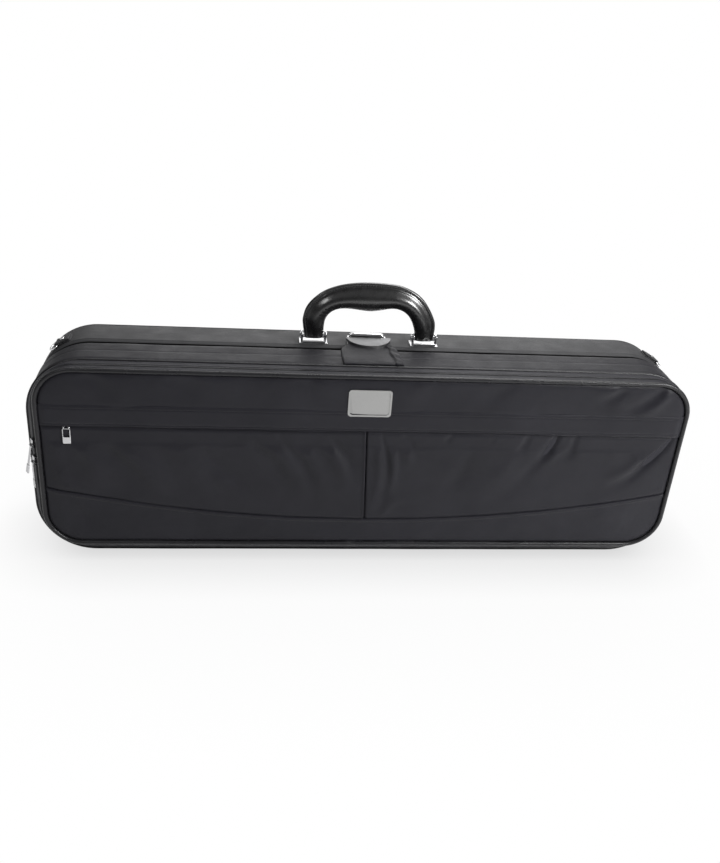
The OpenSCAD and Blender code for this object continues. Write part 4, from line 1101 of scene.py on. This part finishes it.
# ------------------------------------------------------------------ webbing tabs that hold the D-rings
TABANG = math.radians(52.0)
TCX, TCZ = HL - R, H - R
for sgn_, nm in ((1, "d_ring_tab_right"), (-1, "d_ring_tab_left")):
    path = []
    for x in np.linspace(-17.5, -3.6, 9):
        path.append((x, math.sqrt(R * R - x * x) + 1.15))
    for a in np.linspace(-118, 96, 14):
        path.append((2.35 * math.cos(math.radians(a)), R + 2.4 + 2.35 * math.sin(math.radians(a))))
    for x in np.linspace(-3.0, -17.0, 9):
        path.append((x, math.sqrt(R * R - x * x) + 3.55))
    path = np.array(path)
    T = np.gradient(path, axis=0); T /= np.linalg.norm(T, axis=1)[:, None]
    Nn = np.stack([-T[:, 1], T[:, 0]], 1)
    rings = []
    for (w_, th) in ((-9.0, 0.25), (-8.5, 0.85), (-7.6, 1.05), (-4, 0.98), (0, 1.0), (4, 0.98), (7.6, 1.05), (8.5, 0.85), (9.0, 0.25)):
        a_ = path + Nn * th; b_ = (path - Nn * th)[::-1]
        c_ = np.vstack([a_, b_])
        lx, lz = c_[:, 0], c_[:, 1]
        # corner frame -> row frame: +Z outward at the tab angle, +X down along the corner
        ca, sa = math.cos(math.pi / 2 - TABANG), math.sin(math.pi / 2 - TABANG)
        X = TCX + lx * ca + lz * sa
        Z = TCZ - lx * sa + lz * ca
        rings.append(np.stack([X * sgn_, np.full(len(X), HY + 1 + w_), Z], 1))
    V, F = loft(rings, cap_first=True, cap_last=True)
    tb = add(nm, V, F, M_WEB)
    bm = bmesh.new(); bm.from_mesh(tb.data); bmesh.ops.recalc_face_normals(bm, faces=bm.faces); bm.to_mesh(tb.data); bm.free()
    finish_piece(tb, "case_body", ["d_ring_tabs"] if sgn_ > 0 else [])
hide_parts("d_ring_tabs")

# ------------------------------------------------------------------ pull of the front zip, lying on the cloth
FPa, FPb = bx("front_zip_pull")
px = (FPa[0] + FPb[0]) / 2
pz1, pz0 = FPb[2] - 0.8, FPa[2]
secs = []
for z, hw, y, th in ((pz1 + 0.6, 2.4, YF + 1.9, 0.5), (pz1 - 1.5, 2.6, YF + 1.4, 0.5), (pz1 - 2.6, 4.4, YF + 0.7, 0.55), (pz1 - 4.4, 4.6, YF + 0.35, 0.6)):
    secs.append((z, hw, y, th))
outl = [(-4.6, 0), (4.6, 0)]
def rrect(hw, z0_, z1_, r_, n_=5):
    P_ = []
    for cx_, cz_, a0 in ((hw - r_, z0_ + r_, -90), (hw - r_, z1_ - r_, 0), (-hw + r_, z1_ - r_, 90), (-hw + r_, z0_ + r_, 180)):
        for k in range(n_ + 1):
            a = math.radians(a0 + 90 * k / n_)
            P_.append((cx_ + r_ * math.cos(a), cz_ + r_ * math.sin(a)))
    return P_
zt = pz1 - 2.0
oo = rrect(4.6, pz0, zt, 1.0); ii = rrect(3.5, pz0 + 8.2, zt - 1.1, 0.5)
V, F = [], []
def yy(z): return YF + 0.25 + 0.9 * max(0.0, (z - (zt - 5)) / 5)
layers = [(oo, 0.0, 0.86), (oo, 0.25, 1.0), (oo, 0.85, 1.0), (oo, 1.1, 0.86)]
nO = len(oo)
cxz = np.array([0.0, (pz0 + zt) / 2])
def shrink(pl, k_):
    a = np.array(pl); c = a.mean(0); d = a - c
    ln = np.linalg.norm(d, axis=1)[:, None]
    return c + d * (ln - k_) / ln
for pl, dy, _ in ((shrink(oo, 0.25), -0.55, 0), (oo, -0.3, 0), (oo, 0.3, 0), (shrink(oo, 0.25), 0.55, 0)):
    V.append(np.array([(px + p[0], yy(p[1]) + dy, p[1]) for p in pl]))
for pl, dy in ((shrink(ii, -0.2), -0.55), (ii, -0.3), (ii, 0.3), (shrink(ii, -0.2), 0.55)):
    V.append(np.array([(px + p[0], yy(p[1]) + dy, p[1]) for p in pl]))
for a in range(3):
    for k in range(nO):
        k2 = (k + 1) % nO
        F.append((a * nO + k, a * nO + k2, (a + 1) * nO + k2, (a + 1) * nO + k))
        b0 = (4 + a) * nO
        F.append((b0 + k, b0 + nO + k, b0 + nO + k2, b0 + k2))
for k in range(nO):
    k2 = (k + 1) % nO
    F.append((k, 4 * nO + k, 4 * nO + k2, k2))
    F.append((3 * nO + k, 3 * nO + k2, 7 * nO + k2, 7 * nO + k))
pull = add("front_pull_tab", np.concatenate(V), F, M_ZIPM)
bm = bmesh.new(); bm.from_mesh(pull.data); bmesh.ops.recalc_face_normals(bm, faces=bm.faces); bm.to_mesh(pull.data); bm.free()
pull.data.polygons.foreach_set("use_smooth", [False] * len(pull.data.polygons))
finish_piece(pull, "front_zip_pull", ["front_zip_pull"])
lug = tube("front_pull_loop", [(px - 3.0, YF + 1.0, zt - 0.6), (px - 3.0, YF + 1.3, zt + 1.4), (px - 2.0, YF + 2.0, pz1 + 0.2), (px + 2.0, YF + 2.0, pz1 + 0.2), (px + 3.0, YF + 1.3, zt + 1.4), (px + 3.0, YF + 1.0, zt - 0.6)], 0.6, M_CHROME, closed=False, seg=8, ref=(0.02, 1, 0.3))
finish_piece(lug, "front_zip_pull")

# ------------------------------------------------------------------ plush inside
def soft_copy(node_name, name, voxel, mat, body, smooth=6, press=4.0, cap=5.0, shrink=0.8, sub=1, wobble=0.35, extra=()):
    """a stuffed copy of a CAD solid: remeshed, swollen by a cloth simulation, capped, smoothed"""
    src = nodes[node_name]
    ob = bpy.data.objects.new(name, src.data.copy()); S.collection.objects.link(ob)
    ob.modifiers.new("w", "WELD").merge_threshold = 1e-6
    r_ = ob.modifiers.new("r", "REMESH"); r_.mode = "VOXEL"; r_.voxel_size = voxel * MM
    sm = ob.modifiers.new("s", "SMOOTH"); sm.iterations = smooth; sm.factor = 0.5
    dg = bpy.context.evaluated_depsgraph_get()
    me = bpy.data.meshes.new_from_object(ob.evaluated_get(dg))
    ob.modifiers.clear(); old = ob.data; ob.data = me
    bpy.data.meshes.remove(old)
    me.materials.clear(); me.materials.append(mat)
    nv = len(me.vertices)
    co = np.zeros(nv * 3); me.vertices.foreach_get("co", co); co = co.reshape(-1, 3)
    no = np.array([v.normal for v in me.vertices])
    rest = co.copy()
    co = co - no * shrink * MM
    me.vertices.foreach_set("co", co.ravel()); me.update()
    c = ob.modifiers.new("Cloth", "CLOTH")
    c.settings.use_pressure = True
    c.settings.uniform_pressure_force = press
    c.settings.effector_weights.gravity = 0.0
    c.settings.quality = 4
    c.settings.tension_stiffness = 18; c.settings.compression_stiffness = 18; c.settings.shear_stiffness = 8
    c.settings.bending_stiffness = 0.6
    c.collision_settings.use_collision = False
    for f in range(1, 15):
        S.frame_set(f)
    dg = bpy.context.evaluated_depsgraph_get()
    me2 = bpy.data.meshes.new_from_object(ob.evaluated_get(dg))
    ob.modifiers.clear(); ob.data = me2
    me2.materials.clear(); me2.materials.append(mat)
    c2 = np.zeros(nv * 3); me2.vertices.foreach_get("co", c2); c2 = c2.reshape(-1, 3)
    d = c2 - rest; ln = np.linalg.norm(d, axis=1)[:, None]
    c2 = rest + d * np.minimum(1, cap * MM / np.maximum(ln, 1e-9))
    co = c2
    S.frame_set(1)
    me = me2
    co = co + no * (wobble * MM * np.array([noise.noise(Vector(p * 28.0)) for p in co]))[:, None]
    me.vertices.foreach_set("co", co.ravel()); me.update()
    me.polygons.foreach_set("use_smooth", [True] * len(me.polygons))
    if sub:
        ob.modifiers.new("sub", "SUBSURF").render_levels = sub; ob.modifiers["sub"].levels = sub
    finish_piece(ob, body, [node_name, *extra])
    return ob


def lining(name, sgn_, yrim, yfloor, body, reps, seed):
    """plush lining of one half: turned over the rim, down the wall, round the corner and over the floor"""
    rr = [ring(B0, yrim + sgn_ * 0.5, -9.6), ring(B0, yrim + sgn_ * 0.0, -10.6), ring(B0, yrim + sgn_ * 0.15, -11.8), ring(B0, yrim + sgn_ * 1.3, -12.9)]
    y0 = yrim + sgn_ * 2.5; y1 = yfloor - sgn_ * 5.0
    for k in np.linspace(0, 1, 9):
        y = y0 + (y1 - y0) * k
        V_ = ring(B0, y)
        rr.append(ring(B0, y, -13.2 - 0.9 * math.sin(math.pi * k) + wob(V_, 48.0, 0.6, seed)))
    for a in np.linspace(15, 90, 5):
        rr.append(ring(B0, yfloor - sgn_ * 5.0 * (1 - math.sin(math.radians(a))), -13.2 - 5.0 * (1 - math.cos(math.radians(a)))))
    for i in list(range(24, 124, 8)) + [124]:
        PN = outline(HL - i, i, H - i, max(R - i, 4.0))
        V_ = ring(PN, 0)
        fade = min(1.0, (124 - i) / 45.0)
        rr.append(ring(PN, yfloor - sgn_ * (0.9 * (1 - math.exp(-(i - 18) / 8.0)) + fade * (wob(V_, 60.0, 0.45, seed) + wob(V_, 22.0, 0.2, seed + 5)))))
    V_, F_ = loft(rr, flip=(sgn_ > 0), cap_last=True)
    ob = add(name, V_, F_, M_PLUSH)
    finish_piece(ob, body, reps)
    return ob


lining("body_lining_plush", 1, YP + 0.08, YBL - 2.1, "case_body", ["body_lining", "bed_floor"], 13.0)
lining("lid_lining_plush", -1, YP - 0.08, YLL, "lid", ["lid_lining"], 17.0)
soft_copy("bed_upper", "bed_upper_plush", 4.6, M_PLUSH, "case_body", cap=5.0)
soft_copy("bed_lower", "bed_lower_plush", 4.6, M_PLUSH, "case_body", cap=5.0)
soft_copy("suspension_pads", "suspension_pads_plush", 3.2, M_PLUSH, "case_body", cap=3.5)
soft_copy("neck_cradle", "neck_cradle_plush", 3.0, M_PLUSH, "case_body", cap=3.0)
soft_copy("accessory_box", "accessory_box_plush", 1.8, M_PLUSH, "case_body", cap=0.9, smooth=3, shrink=0.0, press=1.0, sub=0)
soft_copy("accessory_lid", "accessory_lid_plush", 1.4, M_PLUSH, "accessory_cover", cap=1.0, smooth=4, shrink=0.0, press=1.0, sub=0)
soft_copy("bow_tip_pockets", "bow_tip_pouches", 1.2, M_WEB, "lid", cap=0.8, smooth=3, shrink=0.0, press=0.6, sub=0)

# binding along the two plush rims
for nm, y, body in (("body_rim_binding", YP + 0.6, "case_body"), ("lid_rim_binding", YP - 0.6, "lid")):
    tb = tube(nm, ring(B0, y, -10.3), 0.75, M_PIPE, seg=8)
    finish_piece(tb, body)


def strip(name, path, width, th, mat, body, reps, axis=(1, 0, 0), sheet_len=None):
    """flat strap along path with rounded edges; axis is across the strap"""
    path = np.asarray(path, float); ax = np.asarray(axis, float)
    T = frames(path, False)
    Nn = np.cross(ax, T); Nn /= np.linalg.norm(Nn, axis=1)[:, None]
    rr = []
    for w_, k in ((-0.5, 0.2), (-0.475, 0.8), (-0.42, 1.0), (-0.2, 0.94), (0, 0.96), (0.2, 0.94), (0.42, 1.0), (0.475, 0.8), (0.5, 0.2)):
        a_ = path + ax * width * w_ + Nn * th / 2 * k
        b_ = (path + ax * width * w_ - Nn * th / 2 * k)[::-1]
        rr.append(np.vstack([a_, b_]))
    V_, F_ = loft(rr, cap_first=True, cap_last=True)
    ob = add(name, V_, F_, mat)
    bm = bmesh.new(); bm.from_mesh(ob.data); bmesh.ops.recalc_face_normals(bm, faces=bm.faces); bm.to_mesh(ob.data); bm.free()
    finish_piece(ob, body, reps)
    return ob


NSa, NSb = bx("neck_strap")
zs = np.linspace(NSa[2], NSb[2], 40)
u_ = (zs - ZC) / 50.0
strip("neck_strap_band", np.stack([np.full_like(zs, (NSa[0] + NSb[0]) / 2), NSa[1] + 0.9 - 2.6 * np.clip(1 - u_ ** 2, 0, 1), zs], 1), NSb[0] - NSa[0], 1.8, M_WEB, "case_body", ["neck_strap"])
ATa, ATb = bx("accessory_tab")
xs_t = np.linspace(ATa[0], ATb[0], 16)
strip("accessory_pull_tab", np.stack([xs_t, ATa[1] + 0.4 - 0.9 * np.sin(np.pi * (xs_t - ATa[0]) / (ATb[0] - ATa[0])), np.full_like(xs_t, (ATa[2] + ATb[2]) / 2)], 1), ATb[2] - ATa[2], 0.9, M_WEB, "accessory_cover", ["accessory_tab"], axis=(0, 0, 1))

# inner face of the pocket's front panel
rr = []
for i in [5, 8] + list(range(14, 112, 8)) + [112]:
    PN = outline(PHL - i, PZ0 + i, PZ1 - i, max(PR - i, 3.0))
    V_ = ring(PN, 0)
    rr.append(ring(PN, YF + 6.7 + 0.6 * (1 - math.exp(-(i - 5) / 8.0)) + min(1.0, (112 - i) / 40.0) * wob(V_, 60.0, 0.4, 33.0)))
V, F = loft(rr, flip=True, cap_last=True)
pl_ = add("pocket_lining_cloth", V, F, M_FRONT)
finish_piece(pl_, "pocket_panel")

# ------------------------------------------------------------------ cloth: flat sizes worked out from the CAD's dimensions and seam lines (m, m2)
def round_len(h, z0, z1, r):
    return (4 * (h - r) + 2 * (z1 - z0 - 2 * r) + 2 * math.pi * r) * MM


def face_area(h, z0, z1, r):
    return (2 * h * (z1 - z0) - (4 - math.pi) * r * r) * MM * MM


def between(x0, x1, lo_, hi_):
    """area between two seam lines on the flat front"""
    x = np.linspace(x0, x1, 4001)
    g_ = np.maximum(hi_(x) - lo_(x), 0)
    return float(((g_[1:] + g_[:-1]) / 2 * np.diff(x)).sum()) * MM * MM


CASE_LEN, FACE = round_len(HL, 0, H, R), face_area(HL, 0, H, R)
BYa, BYb = bx("body_cover"); LYa, LYb = bx("lid_cover")
RFa, RFb = bx("rain_flap"); CLa, CLb = bx("closure_flap")
TURN = 10.5                                    # turned over the rim, to the plush
BODY_W = (BYb[1] - BYa[1] + TURN) * MM
LID_W = (LYb[1] - LYa[1] + TURN) * MM
FLAP_LEN = CASE_LEN - (2 * HL - 2 * R) * MM - 2 * LIPZ * MM
GR_LEN = (CASE_LEN + round_len(GHL, GZ0, GZ1, GR)) / 2
PW, PH_ = 2 * (PHL - 4.3) * MM, (PZ1 - PZ0 - 8.6) * MM
lo_pk = lambda x: np.maximum(seam_z(x), zlim(x, True))
hi_pk = lambda x: np.minimum(np.full_like(x, FZ0 + 7.0), zlim(x, False))
CUTS = {
    "body_skin": (BODY_W + H * MM, CASE_LEN, "stretched", CASE_LEN * BODY_W + FACE, ["body_shell"]),
    "lid_skin": (LID_W + H * MM, CASE_LEN, "stretched", CASE_LEN * LID_W + FACE, ["lid_shell"]),
    "rain_flap_cloth": (2 * (RFb[1] - RFa[1]) * MM, FLAP_LEN, "folded", None, ["body_skin"]),
    "gusset_rear_cloth": (max(0.01, (YR - YZ) * MM), GR_LEN, "stretched", None, ["lid_skin"]),
    "gusset_front_cloth": (max(0.01, (YZ - YG0) * MM), GR_LEN, "stretched", None, ["panel_cord"]),
    "zip_tape_rear": (0.010, GR_LEN, "stretched", 0.0032 * GR_LEN, ["gusset_rear_cloth"]),
    "zip_tape_front": (0.010, GR_LEN, "stretched", 0.0032 * GR_LEN, ["gusset_front_cloth"]),
    "pocket_hinge_strip": (0.0125, 0.636, "stretched", 0.0105 * 0.636, ["gusset_rear_cloth", "gusset_front_cloth"]),
    "pocket_cloth_left_skin": ((SEAMX + XE) * MM, 0.136, "stretched", between(-XE, SEAMX, lo_pk, hi_pk), ["panel_board"]),
    "pocket_cloth_right_skin": ((XE - SEAMX) * MM, 0.136, "stretched", between(SEAMX, XE, lo_pk, hi_pk), ["panel_board"]),
    "yoke_cloth": (PW, 0.078, "stretched", between(-XE, XE, lambda x: zlim(x, True), lambda x: np.minimum(seam_z(x), zlim(x, False))), ["panel_board"]),
    "top_cloth": (PW, (PZ1 - 4.3 - FZ0 - 14.0) * MM, "stretched", between(-XE, XE, lambda x: np.minimum(np.full_like(x, FZ0 + 14.0), zlim(x, False)), lambda x: zlim(x, False)), ["panel_board"]),
    "zip_flap_cloth": (PW, (FZ1 - FZ0 + 1.0) * MM, "stretched", None, ["top_cloth"]),
    "closure_flap_cloth": ((CLb[0] - CLa[0]) * MM, (CLb[1] - CLa[1]) * MM, "laid", None, ["lid_skin", "body_skin"]),
    "d_ring_tab_right": (0.018, (2 * 14.0 + math.pi * 2.9) * MM, "folded", None, ["body_skin"]),
    "d_ring_tab_left": (0.018, (2 * 14.0 + math.pi * 2.9) * MM, "folded", None, ["body_skin"]),
    "pocket_lining_cloth": (2 * (PHL - 5) * MM, (PZ1 - PZ0 - 10) * MM, "stretched", face_area(PHL - 5, PZ0 + 5, PZ1 - 5, PR - 5), ["panel_board"]),
}

# ------------------------------------------------------------------ floor, light, camera
fv = 6000.0
n = 2
floor = add("floor", [(-fv, -fv, -0.3), (fv, -fv, -0.3), (fv, fv, -0.3), (-fv, fv, -0.3)], [(0, 1, 2, 3)], M_FOAM, False)
m, nt, b, tc = start_mat("floor paper")
b.inputs["Base Color"].default_value = (0.78, 0.78, 0.78, 1)
b.inputs["Emission Color"].default_value = (1, 1, 1, 1)
b.inputs["Emission Strength"].default_value = 0.12
b.inputs["Roughness"].default_value = 0.75
b.inputs["Specular IOR Level"].default_value = 0.3
floor.data.materials.clear(); floor.data.materials.append(m)
# the lid can swing down past the floor, so the paper bounces light but is clear to the camera, and a second sheet shows the soft shadow of whatever stands over it
floor.visible_camera = False
floor.visible_shadow = False
shade = add("floor_shade", [(-1300, -1300, -0.25), (1300, -1300, -0.25), (1300, 1300, -0.25), (-1300, 1300, -0.25)], [(0, 1, 2, 3)], m, False)
m2 = bpy.data.materials.new("floor shade"); m2.use_nodes = True
nt = m2.node_tree
for n_ in list(nt.nodes):
    nt.nodes.remove(n_)
out = node(nt, "ShaderNodeOutputMaterial"); mx = node(nt, "ShaderNodeMixShader"); tr = node(nt, "ShaderNodeBsdfTransparent"); em = node(nt, "ShaderNodeEmission")
ao = node(nt, "ShaderNodeAmbientOcclusion", samples=24)
ao.inputs["Distance"].default_value = 0.09
ao2 = node(nt, "ShaderNodeAmbientOcclusion", samples=24)
ao2.inputs["Distance"].default_value = 0.35
near_ = math2(nt, "MULTIPLY", math2(nt, "SUBTRACT", 1.0, ao.outputs["AO"]), 0.30)
far_ = math2(nt, "MULTIPLY", math2(nt, "SUBTRACT", 1.0, ao2.outputs["AO"]), 0.10)
al = math2(nt, "ADD", near_, far_)
lk(nt, al, mx.inputs[0]); lk(nt, tr.outputs[0], mx.inputs[1]); lk(nt, em.outputs[0], mx.inputs[2])
em.inputs[0].default_value = (0.10, 0.10, 0.105, 1); em.inputs[1].default_value = 1.0
lk(nt, mx.outputs[0], out.inputs[0])
shade.data.materials.clear(); shade.data.materials.append(m2)
shade.visible_shadow = False; shade.visible_diffuse = False; shade.visible_glossy = False

w = bpy.data.worlds.new("studio"); S.world = w
w.use_nodes = True
nt = w.node_tree
for n_ in list(nt.nodes):
    nt.nodes.remove(n_)
out = node(nt, "ShaderNodeOutputWorld"); bg = node(nt, "ShaderNodeBackground"); bg2 = node(nt, "ShaderNodeBackground")
ms = node(nt, "ShaderNodeMixShader"); lp = node(nt, "ShaderNodeLightPath")
tcw = node(nt, "ShaderNodeTexCoord"); sx = node(nt, "ShaderNodeSeparateXYZ")
lk(nt, tcw.outputs["Generated"], sx.inputs[0])
rw = node(nt, "ShaderNodeValToRGB")
els = rw.color_ramp.elements
els[0].position = 0.0; els[0].color = (0.5, 0.5, 0.51, 1)
els[1].position = 1.0; els[1].color = (1.0, 1.0, 1.0, 1)
for p_, c_ in ((0.12, 0.30), (0.45, 0.14), (0.75, 0.5)):
    e_ = els.new(p_); e_.color = (c_, c_, c_ * 1.01, 1)
lk(nt, sx.outputs["Z"], rw.inputs[0])
lk(nt, rw.outputs[0], bg.inputs[0]); bg.inputs[1].default_value = 0.55
bg2.inputs[0].default_value = (1, 1, 1, 1); bg2.inputs[1].default_value = 1.0
lk(nt, lp.outputs["Is Camera Ray"], ms.inputs[0]); lk(nt, bg.outputs[0], ms.inputs[1]); lk(nt, bg2.outputs[0], ms.inputs[2])
lk(nt, ms.outputs[0], out.inputs[0])


def area(name, loc, target, size, power, sy=None):
    l = bpy.data.lights.new(name, "AREA"); l.shape = "RECTANGLE"; l.size = size; l.size_y = sy or size; l.energy = power
    o = bpy.data.objects.new(name, l); S.collection.objects.link(o)
    o.location = loc
    o.rotation_euler = (Vector(target) - Vector(loc)).to_track_quat("-Z", "Y").to_euler()
    return o


area("key_top", (0.45, 0.35, 1.4), (0.05, 0.05, 0.2), 1.2, 17.0, 0.6)
area("key_right", (1.15, -0.90, 0.95), (0.12, 0.0, 0.15), 0.5, 30.0)
area("fill_left", (-1.2, -0.9, 1.5), (-0.1, 0.0, 0.25), 0.35, 4.2)
area("back_wall", (0.2, 2.0, 1.0), (0.0, 0.0, 0.15), 2.0, 17.0)

cam = bpy.data.objects.new("camera", bpy.data.cameras.new("camera")); S.collection.objects.link(cam)
cam.data.sensor_width = 36.0; cam.data.lens = 897.30 * 36.0 / 863.0
cam.data.clip_start = 0.01; cam.data.clip_end = 50
yaw, pitch, roll = math.radians(7.592), math.radians(26.908), math.radians(4.474)
fw = np.array([math.sin(yaw) * math.cos(pitch), math.cos(yaw) * math.cos(pitch), -math.sin(pitch)])
rt = np.array([math.cos(yaw), -math.sin(yaw), 0.0])
upv = np.cross(rt, fw)
r2 = math.cos(roll) * rt + math.sin(roll) * upv
u2 = -math.sin(roll) * rt + math.cos(roll) * upv
Mx = Matrix.Identity(4)
for i in range(3):
    Mx[i][0], Mx[i][1], Mx[i][2] = r2[i], u2[i], -fw[i]
Mx[0][3], Mx[1][3], Mx[2][3] = -0.14009, -1.00487, 0.66327
cam.matrix_world = Mx
S.camera = cam
